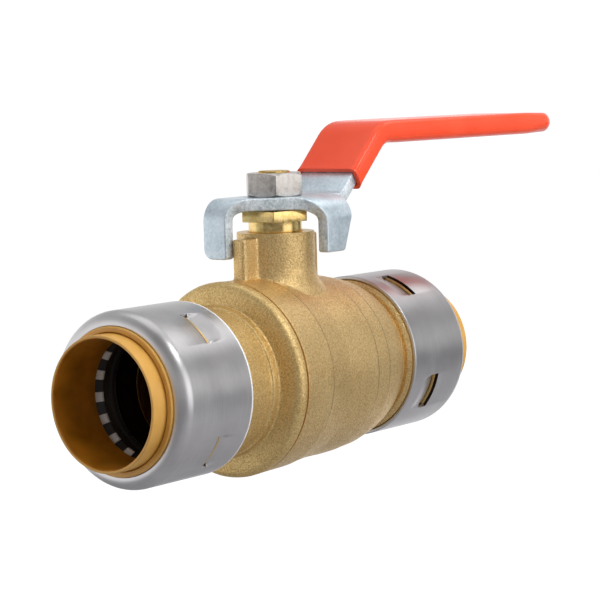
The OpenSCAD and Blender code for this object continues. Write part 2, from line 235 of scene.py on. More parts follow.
def prism(sides: int, radius: float, low: float, high: float, turn: float) -> bmesh.types.BMesh:
    """Returns an upright prism with a corner at the angle turn, in degrees."""
    bm = bmesh.new()
    bmesh.ops.create_circle(bm, cap_ends=True, segments=sides, radius=radius)
    raise_faces(bm, high - low)
    first = max(bm.verts, key=lambda v: v.co.x)
    start = math.degrees(math.atan2(first.co.y, first.co.x))
    bmesh.ops.rotate(bm, cent=(0, 0, 0), verts=bm.verts[:],
                     matrix=Matrix.Rotation(math.radians(turn - start), 3, "Z"))
    bmesh.ops.translate(bm, vec=(0, 0, low), verts=bm.verts[:])
    bmesh.ops.recalc_face_normals(bm, faces=bm.faces[:])
    return bm


def as_object(name: str, *parts: bmesh.types.BMesh) -> bpy.types.Object:
    """Makes one object, in metres, from one or more bmeshes in millimetres."""
    mesh = bpy.data.meshes.new(name)
    whole = bmesh.new()
    for part in parts:
        part.to_mesh(mesh)
        whole.from_mesh(mesh)
        part.free()
    bmesh.ops.scale(whole, vec=(MM, MM, MM), verts=whole.verts[:])
    mesh.clear_geometry()
    whole.to_mesh(mesh)
    whole.free()
    obj = bpy.data.objects.new(name, mesh)
    bpy.context.scene.collection.objects.link(obj)
    return obj


def settle(obj: bpy.types.Object) -> None:
    """Applies an object's modifiers, so that its mesh is the finished shape."""
    graph = bpy.context.evaluated_depsgraph_get()
    old = obj.data
    done = bpy.data.meshes.new_from_object(obj.evaluated_get(graph), depsgraph=graph)
    obj.modifiers.clear()
    obj.data = done
    done.name = obj.name
    bpy.data.meshes.remove(old)


def combine(obj: bpy.types.Object, tool: bmesh.types.BMesh, operation: str) -> None:
    """Unites, cuts or intersects an object with a closed tool.

    Args:
        obj: The object that changes.
        tool: The tool's bmesh in millimetres; it is used up.
        operation: UNION, DIFFERENCE or INTERSECT.
    """
    other = as_object("tool", tool)
    boolean = obj.modifiers.new("tool", "BOOLEAN")
    boolean.object, boolean.operation, boolean.solver = other, operation, "EXACT"
    settle(obj)
    edit(obj, lambda bm: bmesh.ops.remove_doubles(bm, verts=bm.verts[:], dist=0.001))
    bpy.data.meshes.remove(other.data)


def soften(obj: bpy.types.Object, width: float, angle: float = 30.0, segments: int = 3) -> None:
    """Rounds every edge that is sharper than an angle.

    Args:
        obj: The object to soften.
        width: Width of the rounding, in millimetres.
        angle: Sharpest angle in degrees that is left alone.
        segments: Number of faces across the rounding.
    """
    bevel = obj.modifiers.new("edges", "BEVEL")
    bevel.width, bevel.segments, bevel.limit_method = width * MM, segments, "ANGLE"
    bevel.angle_limit, bevel.profile = math.radians(angle), 0.5
    settle(obj)


def edit(obj: bpy.types.Object, change: Callable[[bmesh.types.BMesh], None]) -> None:
    """Runs a change on an object's mesh, in millimetres."""
    bm = bmesh.new()
    bm.from_mesh(obj.data)
    bmesh.ops.scale(bm, vec=(1 / MM, 1 / MM, 1 / MM), verts=bm.verts[:])
    change(bm)
    bmesh.ops.scale(bm, vec=(MM, MM, MM), verts=bm.verts[:])
    bm.to_mesh(obj.data)
    bm.free()


# ---- Finishes --------------------------------------------------------------------------------

def srgb(code: str) -> tuple[float, float, float, float]:
    """Turns an sRGB hex colour into a linear RGBA colour."""
    parts = [int(code[i:i + 2], 16) / 255 for i in (1, 3, 5)]
    linear = [p / 12.92 if p <= 0.04045 else ((p + 0.055) / 1.055) ** 2.4 for p in parts]
    return (*linear, 1.0)


def feed(node: bpy.types.Node, inputs: dict) -> None:
    """Gives a node's inputs, by name or number, a value or an output socket to link."""
    for name, value in inputs.items():
        if isinstance(value, bpy.types.NodeSocket):
            node.id_data.links.new(value, node.inputs[name])
        else:
            node.inputs[name].default_value = value


def add_node(tree: bpy.types.NodeTree, kind: str, inputs: dict | None = None,
             **settings: object) -> bpy.types.Node:
    """Adds one node with its settings and links.

    Args:
        tree: The node tree.
        kind: The node's type name.
        inputs: Input names or numbers with a value, or with an output socket to link.
        **settings: Properties of the node itself.

    Returns:
        The new node.
    """
    node = tree.nodes.new(kind)
    for name, value in settings.items():
        setattr(node, name, value)
    feed(node, inputs or {})
    return node


def per_mm(size: float) -> float:
    """Returns the texture scale, in metres, of a feature of that many millimetres."""
    return 1 / (size * MM)


@dataclass(frozen=True)
class Nodes:
    """Writes the kinds of node that the finishes share into one tree."""

    tree: bpy.types.NodeTree

    def maths(self, operation: str, *values: Value) -> Socket:
        """Returns the result of one sum."""
        return add_node(self.tree, "ShaderNodeMath", dict(enumerate(values)),
                        operation=operation).outputs[0]

    def vector(self, operation: str, *values: Value) -> Socket:
        """Returns the result of one sum on vectors."""
        node = add_node(self.tree, "ShaderNodeVectorMath", dict(enumerate(values)),
                        operation=operation)
        return node.outputs["Value" if operation in ("LENGTH", "DOT_PRODUCT") else "Vector"]

    def mean(self, first: Socket, second: Socket) -> Socket:
        """Returns the mean of two values."""
        return self.maths("MULTIPLY", self.maths("ADD", first, second), 0.5)

    def split(self, place: Socket) -> list[Socket]:
        """Returns a vector's X, Y and Z."""
        return add_node(self.tree, "ShaderNodeSeparateXYZ", {0: place}).outputs[:3]

    def join(self, *parts: Value) -> Socket:
        """Returns a vector made of up to three values."""
        return add_node(self.tree, "ShaderNodeCombineXYZ", dict(enumerate(parts))).outputs[0]

    def grain(self, place: Socket, size: float, detail: float = 2.0, rough: float = 0.5) -> Socket:
        """Adds noise with features of a real size.

        Args:
            place: The coordinates it reads.
            size: Size of one feature in millimetres.
            detail: Number of finer layers.
            rough: Strength of the finer layers.

        Returns:
            The noise value.
        """
        return add_node(self.tree, "ShaderNodeTexNoise", {
            "Vector": place, "Scale": per_mm(size), "Detail": detail, "Roughness": rough,
        }).outputs["Fac"]

    def streaks(self, place: Socket, axis: Axis, pitch: float, length: float,
                detail: float = 2.0, rough: float = 0.5) -> Socket:
        """Adds tool marks that run round an axis, on walls and on end faces alike.

        Args:
            place: Object coordinates.
            axis: The axis they run round.
            pitch: Spacing of the marks, in millimetres.
            length: Length of one mark, in millimetres.
            detail: Number of finer layers.
            rough: Strength of the finer layers.

        Returns:
            The noise value.
        """
        x, y, z = self.split(place)
        along, side, other = (z, x, y) if axis is Axis.STEM else (x, y, z)
        across = self.maths("ADD", along, self.vector("LENGTH", self.join(side, other)))
        drawn = add_node(self.tree, "ShaderNodeMapping", {
            "Vector": self.join(across, side, other),
            "Scale": (per_mm(pitch), per_mm(length), per_mm(length))}).outputs["Vector"]
        return add_node(self.tree, "ShaderNodeTexNoise", {
            "Vector": drawn, "Scale": 1.0, "Detail": detail, "Roughness": rough}).outputs["Fac"]

    def ramp(self, value: Socket, *stops: tuple[float, str]) -> Socket:
        """Turns a value into a colour through two stops of (position, sRGB hex)."""
        node = add_node(self.tree, "ShaderNodeValToRGB", {"Fac": value})
        for element, (position, code) in zip(node.color_ramp.elements, stops):
            element.position, element.color = position, srgb(code)
        return node.outputs["Color"]

    def blend(self, share: Socket, first: Value, second: Value) -> Socket:
        """Returns a colour between two, nearer the second as the share grows."""
        return add_node(self.tree, "ShaderNodeMix", {0: share, 6: first, 7: second},
                        data_type="RGBA").outputs[2]

    def spread(self, value: Socket, low: float, high: float,
               source: tuple[float, float] = (0.3, 0.7), shape: str = "LINEAR") -> Socket:
        """Maps a value onto the range from low to high.

        Args:
            value: The value.
            low: Result at and below the start of the source range.
            high: Result at and above its end.
            source: The source range; the default is where noise mostly lies.
            shape: LINEAR, or SMOOTHSTEP for soft ends.

        Returns:
            The mapped value.
        """
        return add_node(self.tree, "ShaderNodeMapRange", {
            "Value": value, "From Min": source[0], "From Max": source[1],
            "To Min": low, "To Max": high}, interpolation_type=shape).outputs["Result"]

    def bump(self, height: Socket, depth: float, under: Socket | None = None) -> Socket:
        """Adds relief of a real depth in millimetres, over an earlier one if given."""
        links = {"Height": height, "Strength": 1.0, "Distance": depth * MM}
        if under:
            links["Normal"] = under
        return add_node(self.tree, "ShaderNodeBump", links).outputs["Normal"]


@dataclass(frozen=True)
class Finish:
    """A procedural finish. Each kind says in dress() what its shader's inputs are."""

    name: str

    def material(self) -> bpy.types.Material:
        """Returns the finish's material, made the first time it is asked for."""
        made = bpy.data.materials.get(self.name)
        if made:
            return made
        made = bpy.data.materials.new(self.name)
        made.use_nodes = True
        tree = made.node_tree
        place = add_node(tree, "ShaderNodeTexCoord").outputs["Object"]
        feed(tree.nodes["Principled BSDF"], self.dress(Nodes(tree), place))
        return made

    def dress(self, n: Nodes, place: Socket) -> dict[str, Value]:
        """Returns the shader's inputs; each kind of finish has its own."""
        raise NotImplementedError


@dataclass(frozen=True)
class ForgedBrass(Finish):
    """Hot-forged brass, shot-blasted: a matt gold skin with sandy grain and cloudy tone."""

    light: str = "#f6d79b"
    dark: str = "#c5a064"
    # Colour of the painted shade in the creases at the forging steps.
    crease_shade: str = "#7a5c34"
    steps: tuple[float, ...] = ()
    metal: float = 0.85

    def dress(self, n: Nodes, place: Socket) -> dict[str, Value]:
        """Mixes cloud, grain and painted shade lines at the forging steps over a bumpy metal."""
        cloud = n.grain(place, 9.0, 3.0)
        # The blasting grit is 0.2 mm; it is drawn at 0.38 mm so that it shows.
        grit = n.grain(place, 0.38, 2.0, 0.6)
        tone = n.maths("MULTIPLY_ADD", grit, 0.8, n.maths("MULTIPLY", cloud, 0.2))
        colour = n.ramp(tone, (0.34, self.dark), (0.64, self.light))
        if self.steps:
            colour = n.blend(self.step_shade_lines(n, place, cloud), colour, srgb(self.crease_shade))
        coarse = n.bump(n.grain(place, 1.5), 0.09)
        return {"Base Color": colour, "Metallic": self.metal,
                "Roughness": n.spread(grit, 0.5, 0.3), "Normal": n.bump(grit, 0.14, coarse)}

    def step_shade_lines(self, n: Nodes, place: Socket, cloud: Socket) -> Socket:
        """Returns a mask of the thin lines of painted shade at the barrel's forging steps."""
        sway = n.spread(n.grain(place, 6.0), -0.25 * MM, 0.25 * MM)
        x, y, z = n.split(place)
        wavy = n.maths("ADD", x, sway)
        lines: Value = 0.0
        for step in self.steps:
            lines = n.maths("ADD", lines, n.maths("COMPARE", wavy, step * MM, 0.17 * MM))
        on_barrel = n.maths("LESS_THAN", n.vector("LENGTH", n.join(y, z)), 23.2 * MM)
        # The painted shade lines are broken up by the cloud noise.
        patchy_shade = n.maths("MULTIPLY", lines, n.spread(cloud, 0.3, 0.8))
        return n.maths("MULTIPLY", patchy_shade, on_barrel)


@dataclass(frozen=True)
class TurnedBrass(Finish):
    """Machined brass: bright yellow metal with fine tool rings that stretch its glints."""

    axis: Axis = Axis.PIPE
    light: str = "#efcf8d"
    dark: str = "#c89f58"
    polish: float = 0.24

    def dress(self, n: Nodes, place: Socket) -> dict[str, Value]:
        """Draws rings round the axis in colour, gloss and relief."""
        # Real tool marks are 0.1 mm apart; they are drawn at 0.35 mm so that they show.
        rings = n.streaks(place, self.axis, 0.35, 14.0)
        return {"Base Color": n.ramp(rings, (0.3, self.dark), (0.65, self.light)),
                "Metallic": 1.0, "Normal": n.bump(rings, 0.02),
                "Roughness": n.spread(rings, self.polish, self.polish + 0.14)}


@dataclass(frozen=True)
class BrushedStainless(Finish):
    """Drawn stainless sheet, brushed round: soft grey bands and hairline scratches."""

    axis: Axis = Axis.PIPE
    light: str = "#dad8d9"
    dark: str = "#cac8ca"
    polish: float = 0.32

    def dress(self, n: Nodes, place: Socket) -> dict[str, Value]:
        """Draws hairlines round the axis and a faint handling haze."""
        # Hairlines of a 180 grit belt are 0.05 mm wide; they are drawn at 0.22 mm.
        hair = n.streaks(place, self.axis, 0.22, 9.0, 3.0, 0.6)
        tone = n.mean(hair, n.grain(place, 7.0, 3.0))
        return {"Base Color": n.ramp(tone, (0.35, self.dark), (0.62, self.light)),
                "Metallic": 1.0, "Normal": n.bump(hair, 0.003),
                "Roughness": n.spread(tone, self.polish, self.polish + 0.09)}


@dataclass(frozen=True)
class PressedStainless(Finish):
    """Cold-headed or turned metal with small scuffs: a warm satin, grey or yellow by colour."""

    light: str = "#d6d0cb"
    dark: str = "#b9b2ac"
    gloss: float = 0.28

    def dress(self, n: Nodes, place: Socket) -> dict[str, Value]:
        """Adds scuffs and a slightly uneven gloss."""
        scuff = n.grain(place, 1.1, 4.0, 0.6)
        return {"Base Color": n.ramp(scuff, (0.35, self.dark), (0.6, self.light)),
                "Metallic": 1.0, "Normal": n.bump(scuff, 0.02),
                "Roughness": n.spread(scuff, self.gloss, self.gloss + 0.14)}


@dataclass(frozen=True)
class ZincPlate(Finish):
    """Zinc-plated steel, clear passivated: bluish silver with cloudy spangle and pits."""

    light: str = "#e0edf6"
    dark: str = "#c2d2dc"
    gloss: float = 0.26
    pits: float = 0.03
    metal: float = 0.6

    def dress(self, n: Nodes, place: Socket) -> dict[str, Value]:
        """Layers large clouds, small mottling and shallow pits, half dull like zinc oxide."""
        cloud, mottle = n.grain(place, 5.0, 3.0, 0.6), n.grain(place, 0.7, 3.0, 0.6)
        tone = n.mean(cloud, mottle)
        return {"Base Color": n.ramp(tone, (0.38, self.dark), (0.6, self.light)),
                "Metallic": self.metal,
                "Roughness": n.spread(tone, self.gloss, self.gloss + 0.16),
                "Normal": n.bump(mottle, self.pits, n.bump(cloud, 0.05))}


@dataclass(frozen=True)
class DippedVinyl(Finish):
    """Dipped PVC: saturated orange-red skin, semi-gloss, with a faint orange peel."""

    light: str = "#fb5837"
    dark: str = "#f65332"

    def dress(self, n: Nodes, place: Socket) -> dict[str, Value]:
        """Adds slow tone changes, orange peel and a few raised specks."""
        drift = n.grain(place, 12.0)
        peel = n.bump(n.grain(place, 1.4), 0.03)
        speck = n.spread(n.grain(place, 1.1, 0.0), 0.0, 1.0, (0.78, 0.84))
        return {"Base Color": n.ramp(drift, (0.35, self.dark), (0.65, self.light)),
                "Roughness": n.spread(drift, 0.18, 0.24), "IOR": 1.38,
                "Subsurface Weight": 0.08, "Subsurface Radius": (0.0012, 0.0004, 0.0002),
                "Subsurface Scale": 1.0, "Normal": n.bump(speck, 0.05, peel)}


@dataclass(frozen=True)
class MouldedPlastic(Finish):
    """Injection-moulded plastic: even colour with a faint flow and a satin skin."""

    light: str = "#c08a34"
    dark: str = "#a87626"
    gloss: float = 0.36
    translucence: float = 0.0

    def dress(self, n: Nodes, place: Socket) -> dict[str, Value]:
        """Adds flow marks to the colour and a fine eroded texture to the skin."""
        flow = n.grain(place, 6.0)
        inputs = {"Base Color": n.ramp(flow, (0.3, self.dark), (0.7, self.light)),
                  "Roughness": n.spread(flow, self.gloss, self.gloss + 0.08), "IOR": 1.5,
                  "Normal": n.bump(n.grain(place, 0.4), 0.008)}
        if self.translucence:
            inputs |= {"Subsurface Weight": self.translucence, "Subsurface Scale": 1.0,
                       "Subsurface Radius": (0.0015, 0.0008, 0.0003)}
        return inputs


def finish_piece(obj: bpy.types.Object, body: str,
                 finishes: Sequence[Finish], nodes: Sequence[str] = (),
                 sharp: float = 32.0) -> bpy.types.Object:
    """Dresses a piece and ties it to the frame.

    Args:
        obj: The finished mesh object.
        body: The CAD body that it rides on.
        finishes: Its finishes, in slot order.
        nodes: CAD nodes that it stands for.
        sharp: Angle in degrees above which an edge stays crisp.

    Returns:
        The same object.
    """
    obj.data.materials.clear()
    for finish in finishes:
        obj.data.materials.append(finish.material())
    obj.data.polygons.foreach_set("use_smooth", [True] * len(obj.data.polygons))
    obj.data.set_sharp_from_angle(angle=math.radians(sharp))
    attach(obj, body)
    if nodes:
        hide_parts(*nodes)
    obj.data.calc_loop_triangles()
    log.info("%s: %d triangles on %s", obj.name, len(obj.data.loop_triangles), body)
    return obj


# Barrel finish, with painted shade lines at its forging steps.
FORGED = ForgedBrass("forged_brass_blasted", steps=(-8.3, 10.9, 16.1))
FORGED_END = ForgedBrass("forged_brass_adapter", light="#f8da9a", dark="#c9a465")
# Dark brown bore finish: an oil film plus painted shade inside the bores.
BORE_OIL_AND_SHADE = TurnedBrass("bored_brass_oil_and_painted_shade", light="#7a5520", dark="#4c3412", polish=0.4)
# Near-black bore finish: painted shade deep inside the inlet bore.
BORE_DEEP_SHADE = TurnedBrass("bored_brass_painted_deep_shade", light="#2a1c0c", dark="#150e06", polish=0.5)
TURNED_PIPE = TurnedBrass("turned_brass_waterway")
TURNED_STEM = TurnedBrass("turned_brass_stem", axis=Axis.STEM, light="#e6c67c", dark="#b99248")
SHELL = BrushedStainless("stainless_shell_brushed")
TOOTH = ZincPlate("spring_stainless", light="#fdfcfa", dark="#eeece8", gloss=0.4, metal=0.1)
# Dark brown for the slits' sheared walls: painted shade.
SLIT_WALL_SHADE = BrushedStainless("stainless_slit_wall_painted_shade", light="#4a4138", dark="#2f2822", polish=0.45)
# Near-white for the inlet shell's open rim: a painted highlight.
RIM_HIGHLIGHT = ZincPlate("painted_highlight_sheet_edge", light="#ffffff", dark="#f2f3f5", gloss=0.3, metal=0.3)
NUT = PressedStainless("stainless_nut_cold_headed")
GLAND = PressedStainless("machined_brass_gland", light="#fbdc98", dark="#e3bf73", gloss=0.15)
ZINC = ZincPlate("zinc_plated_steel")
SHEARED = ZincPlate("zinc_plated_sheared_edge", light="#eef4f8", dark="#b2bec5", gloss=0.42,
                    pits=0.12, metal=0.35)
VINYL = DippedVinyl("vinyl_dipped_red")
AMBER = MouldedPlastic("acetal_amber_moulded", light="#ddaa56", dark="#d09c48",
                       translucence=0.1)
# Darker amber for the collar's bore wall: painted shade inside the bore.
AMBER_BORE_SHADE = MouldedPlastic("acetal_amber_bore_painted_shade", light="#c07c18", dark="#9c6208",
                            translucence=0.5)
BLACK = MouldedPlastic("nylon_black_moulded", light="#2c2927", dark="#1f1d1c", gloss=0.42)
RUBBER = MouldedPlastic("epdm_rubber_moulded", light="#201f1f", dark="#171616", gloss=0.5)
PTFE = MouldedPlastic("ptfe_turned", light="#f1efe8", dark="#e6e3d9", gloss=0.4,
                      translucence=0.1)
CHROME = PressedStainless("chrome_plated_brass", light="#dcdfe1", dark="#cfd3d6")


# ---- Studio ----------------------------------------------------------------------------------

@dataclass
class Viewpoint:
    """A camera on a sphere about the ball's centre, slid sideways in its own plane."""

    azimuth: float = -51.97
    elevation: float = 5.861
    roll: float = -1.564
    distance: float = 517.23
    slide_right: float = 5.033
    slide_up: float = 16.968
    lens: float = 127.52

    def build(self) -> bpy.types.Object:
        """Makes the scene's camera and returns it."""
        turn, lift, roll = (math.radians(a) for a in (self.azimuth, self.elevation, self.roll))
        back = Vector((math.sin(turn) * math.cos(lift), -math.cos(turn) * math.cos(lift),
                       math.sin(lift)))
        level = (-back).cross(Vector((0, 0, 1))).normalized()
        upright = level.cross(-back)
        right = math.cos(roll) * level + math.sin(roll) * upright
        up = math.cos(roll) * upright - math.sin(roll) * level
        data = bpy.data.cameras.new("camera")
        data.sensor_width, data.lens = 36.0, self.lens
        data.clip_start, data.clip_end = 0.01, 20.0
        camera = bpy.data.objects.new("camera", data)
        bpy.context.scene.collection.objects.link(camera)
        place = back * self.distance + right * self.slide_right + up * self.slide_up
        camera.matrix_world = Matrix.Translation(place * MM) @ Matrix(
            (right, up, back)).transposed().to_4x4()
        bpy.context.scene.camera = camera
        return camera


@dataclass(frozen=True)
class Softbox:
    """A rectangular studio light that faces the valve."""

    name: str
    azimuth: float
    elevation: float
    distance: float
    width: float
    height: float
    radiance: float
    seen_in_metal: bool = True

    def build(self) -> bpy.types.Object:
        """Makes the light; its power follows from its size and radiance."""
        turn, lift = math.radians(self.azimuth), math.radians(self.elevation)
        towards = Vector((math.cos(turn) * math.cos(lift), math.sin(turn) * math.cos(lift),
                          math.sin(lift)))
        data = bpy.data.lights.new(self.name, "AREA")
        data.shape, data.size, data.size_y = "RECTANGLE", self.width * MM, self.height * MM
        data.energy = self.radiance * math.pi * self.width * self.height * MM * MM
        light = bpy.data.objects.new(self.name, data)
        bpy.context.scene.collection.objects.link(light)
        light.matrix_world = Matrix.Translation(towards * self.distance * MM) @ (
            towards.to_track_quat("Z", "Y").to_matrix().to_4x4())
        light.visible_camera, light.visible_glossy = False, self.seen_in_metal
        return light


@dataclass
class Studio:
    """A pale sweep, lit from behind, with soft light from the front right and from above."""

    floor_z: float = -150.0
    floor_size: float = 12000.0
    table_r: float = 385.0
    sweep_start: float = 200.0
    sweep_end: float = 350.0
    table_colour: str = "#a5a5a7"
    floor_colour: str = "#9c9c9e"
    floor_glow: float = 0.9
    wall_azimuth: float = 78.0
    wall_level: float = 1.06
    front_level: float = 0.54
    ceiling_share: float = 0.46
    boxes: tuple[Softbox, ...] = (
        Softbox("key_front_right", -84.0, 10.0, 500.0, 440.0, 340.0, 1.1),
        Softbox("high_right", -20.0, 46.0, 600.0, 350.0, 220.0, 1.2),
        Softbox("edge_strip", -96.0, 52.0, 600.0, 260.0, 90.0, 10.0),
        Softbox("top", 60.0, 84.0, 620.0, 560.0, 460.0, 0.7),
        Softbox("bounce_right", -70.0, 30.0, 700.0, 500.0, 500.0, 3.2, False),
        Softbox("bounce_high", 200.0, 75.0, 700.0, 500.0, 500.0, 0.8, False),
    )

    def build(self) -> None:
        """Makes the floor, the world and the lights, and sets the view transform."""
        self.build_floor()
        self.build_world()
        for box in self.boxes:
            box.build()
        view = bpy.context.scene.view_settings
        view.view_transform, view.look, view.exposure, view.gamma = "Standard", "None", 0.0, 1.0

    def build_floor(self) -> bpy.types.Object:
        """Makes a wide pale floor that glows white beyond the valve."""
        bm = bmesh.new()
        bmesh.ops.create_grid(bm, x_segments=1, y_segments=1, size=self.floor_size / 2)
        bmesh.ops.translate(bm, vec=(0, 0, self.floor_z), verts=bm.verts[:])
        floor = as_object("floor", bm)
        material = bpy.data.materials.new("pale_floor")
        material.use_nodes = True
        tree = material.node_tree
        n = Nodes(tree)
        place = add_node(tree, "ShaderNodeTexCoord").outputs["Object"]
        flat = n.vector("MULTIPLY", place, (1, 1, 0))
        share = self.wall_share(n, n.vector("NORMALIZE", flat), 0.0, self.floor_glow)
        reach = n.spread(n.vector("LENGTH", flat), 0.0, 1.0,
                         (self.sweep_start * MM, self.sweep_end * MM), "SMOOTHSTEP")
        edge = [math.hypot(self.table_r + step, self.floor_z) * MM for step in (-8, 8)]
        feed(tree.nodes["Principled BSDF"], {
            "Base Color": n.blend(n.spread(n.vector("LENGTH", place), 0.0, 1.0, edge),
                                  srgb(self.table_colour), srgb(self.floor_colour)),
            "Roughness": 0.9, "Specular IOR Level": 0.0, "Emission Color": (1, 1, 1, 1),
            "Emission Strength": n.maths("MULTIPLY", share, reach)})
        floor.data.materials.append(material)
        return floor

    def wall_share(self, n: Nodes, heading: Socket, low: float, high: float) -> Socket:
        """Returns high towards the white wall behind the valve, and low away from it."""
        turn = math.radians(self.wall_azimuth)
        ahead = n.vector("DOT_PRODUCT", heading, (math.cos(turn), math.sin(turn), 0.0))
        return n.spread(ahead, low, high, (0.0, 0.36), "SMOOTHSTEP")

    def build_world(self) -> None:
        """Makes a world that is white behind the valve and dimmer in front of it and above."""
        world = bpy.data.worlds.new("studio")
        bpy.context.scene.world = world
        world.use_nodes = True
        tree = world.node_tree
        tree.nodes.clear()
        n = Nodes(tree)
        towards = add_node(tree, "ShaderNodeTexCoord").outputs["Generated"]
        wall = self.wall_share(n, towards, self.front_level, self.wall_level)
        ceiling = n.spread(n.split(towards)[2], 1.0, self.ceiling_share, (0.12, 0.5), "SMOOTHSTEP")
        background = add_node(tree, "ShaderNodeBackground", {
            "Color": (1, 1, 1, 1), "Strength": n.maths("MULTIPLY", wall, ceiling)})
        add_node(tree, "ShaderNodeOutputWorld", {"Surface": background.outputs[0]})


# ---- Tube ports ------------------------------------------------------------------------------

@dataclass
class TubePort:
    """One push-in port: shell, guide, release collar, grab ring, protector and O-ring."""

    side: str
    axis: Axis
    window_phase: int
    rim_s: float
    bright_s: float
    shell_r: float = 20.28
    wall: float = 0.8
    nose_r: float = 3.2
    front_s: float = 23.6
    hinge_s: float = 4.0
    side_cut_s: float = 8.2
    tab_end_s: float = 9.2
    window_end_s: float = 10.7
    window_half: int = 14
    tab_drop: float = 0.9
    socket_end_s: float = 14.5
    collar_r: float = 15.44
    tooth_count: int = 18
    tooth_phase: float = 15.0
    tooth_angle: float = 8.5

    def build(self) -> None:
        """Builds and dresses every piece of the port."""
        self.build_shell()
        self.build_guide()
        self.build_collar()
        self.build_grab_ring()
        self.build_protector()
        self.build_o_ring()

    def add(self, part: str, parts: Sequence[bmesh.types.BMesh], body: str, slot: str,
            finish: Finish) -> bpy.types.Object:
        """Finishes one of the port's pieces; it stands for the CAD node of the same name."""
        obj = as_object(f"{self.side}_{part}_piece", *parts)
        return finish_piece(obj, body, [finish], [f"{self.side}_{part}"])

    def build_shell(self) -> bpy.types.Object:
        """Builds the drawn cup: thin sheet with four lanced tabs, then its thickness."""
        bm = draw_outline([
            Corner(self.shell_r, 0.0), Corner(self.shell_r, self.front_s, self.nose_r),
            Corner(self.shell_r - self.nose_r, self.front_s),
        ], closed=False, segments=16)
        stations = [self.hinge_s - 0.6 + 0.5 * i for i in range(10)]
        for station in [0.75, *stations, self.side_cut_s, 8.7, self.tab_end_s,
                        self.window_end_s]:
            bmesh.ops.bisect_plane(bm, geom=bm.verts[:] + bm.edges[:], dist=1e-5,
                                   plane_co=(0, 0, station), plane_no=(0, 0, 1))
        spin_round(bm, 360)
        self.lance_tabs(bm)
        inward = [f for f in bm.faces if f.normal.dot(Vector((*f.calc_center_median().xy, 0))) < 0]
        if len(inward) > len(bm.faces) / 2:
            bmesh.ops.reverse_faces(bm, faces=bm.faces[:])
        bm.transform(self.axis.placement())
        obj = as_object(f"{self.side}_shell_piece", bm)
        thick = obj.modifiers.new("sheet", "SOLIDIFY")
        thick.thickness, thick.offset, thick.use_even_offset = self.wall * MM, -1.0, True
        settle(obj)
        edit(obj, self.round_rear_edge)
        soften(obj, 0.1, 50, 2)
        finish_piece(obj, "body", [SHELL, SLIT_WALL_SHADE, RIM_HIGHLIGHT],
                     [f"{self.side}_shell"], sharp=40)
        self.mark_cuts(obj)
        return obj

    def round_rear_edge(self, bm: bmesh.types.BMesh) -> None:
        """Rounds the sheet's open edge, which catches the light as a bright line."""
        back = self.axis.placement().inverted()
        rim = {v for v in bm.verts if abs((back @ v.co).z) < 0.01
               and (back @ v.co).xy.length > self.shell_r - 0.1}
        edges = [e for e in bm.edges if set(e.verts) <= rim]
        round_edges(bm, edges, 0.4, 5)

    def mark_cuts(self, obj: bpy.types.Object) -> None:
        """Paints shade on the sheared wall of each slit and a highlight on the rounded open edge.
        """
        back = self.axis.placement().inverted().to_3x3()
        offset = self.axis.placement().inverted().translation.z
        for face in obj.data.polygons:
            place = back @ (face.center / MM)
            station = place.z + offset
            # The slit's rear wall takes the dark brown: painted shade.
            if self.window_end_s - 0.15 < station < self.window_end_s + 0.15 and (
                    (back @ face.normal).z < -0.7):
                face.material_index = 1
            # The open rim up to bright_s turns near-white: a painted highlight.
            elif station < self.bright_s and place.xy.length > self.shell_r - 0.42:
                face.material_index = 2

    def lance_tabs(self, bm: bmesh.types.BMesh) -> None:
        """Opens each tab's slit and presses the tab in, with soft sides."""
        half = self.window_half

        def offset(point: Vector) -> float:
            """Returns the angle from the nearest tab's middle, in degrees."""
            angle = math.degrees(math.atan2(point.y, point.x)) - self.window_phase
            return abs((angle + 45) % 90 - 45)

        gone = []
        for face in bm.faces:
            middle = face.calc_center_median()
            if middle.xy.length < self.shell_r - 0.5:
                continue
            away = offset(middle)
            slit = self.tab_end_s < middle.z < self.window_end_s and away < half
            side = self.side_cut_s < middle.z < self.tab_end_s and half - 1 < away < half
            if slit or side:
                gone.append(face)
        bmesh.ops.delete(bm, geom=gone, context="FACES")
        for vert in bm.verts:
            away = offset(vert.co)
            if away > half - 0.5 or not self.hinge_s < vert.co.z < self.tab_end_s + 0.1:
                continue
            slope, low, high = (
                smoothstep(self.hinge_s - 1.5, self.tab_end_s + 1.5, station)
                for station in (vert.co.z, self.hinge_s, self.tab_end_s))
            free = smoothstep(7.4, 8.3, vert.co.z)
            edge = max(smoothstep(half, half - 3.5, away) if away > half - 3.5 else 1.0, free)
            drop = self.tab_drop * (slope - low) / (high - low) * edge
            vert.co.xy *= 1 - drop / self.shell_r

    def build_guide(self) -> bpy.types.Object:
        """Builds the fixed ring that fills the shell's nose."""
        front = self.front_s + 0.7
        inner = self.shell_r - self.nose_r
        return self.add("guide", [turned([
            Corner(16.55, 14.9), Corner(19.38, 14.9), Corner(19.38, 22.7, 2.3),
            Corner(inner - 0.15, 22.7), Corner(inner - 0.15, front, 0.35),
            Corner(15.6, front, 0.3), Corner(15.6, 19.0), Corner(16.55, 19.0),
        ], self.axis)], "body", "amber_plastic", AMBER)

    def build_collar(self) -> bpy.types.Object:
        """Builds the sliding release collar with its rounded rim; its bore wall gets a darker
        amber, painted shade.
        """
        nose = self.socket_end_s + 0.65
        collar = self.add("release_collar", [turned([
            Corner(14.4, nose), Corner(self.collar_r, nose + 1.1, 0.2),
            Corner(self.collar_r, 17.1), Corner(16.35, 17.1, 0.15),
            Corner(16.35, 18.9, 0.15), Corner(self.collar_r, 18.9),
            Corner(self.collar_r, self.rim_s, 0.27), Corner(14.65, self.rim_s, 0.5),
            Corner(14.4, self.rim_s - 4),
        ], self.axis, segments=7)], f"{self.side}_collar", "amber_plastic", AMBER)
        collar.data.materials.append(AMBER_BORE_SHADE.material())
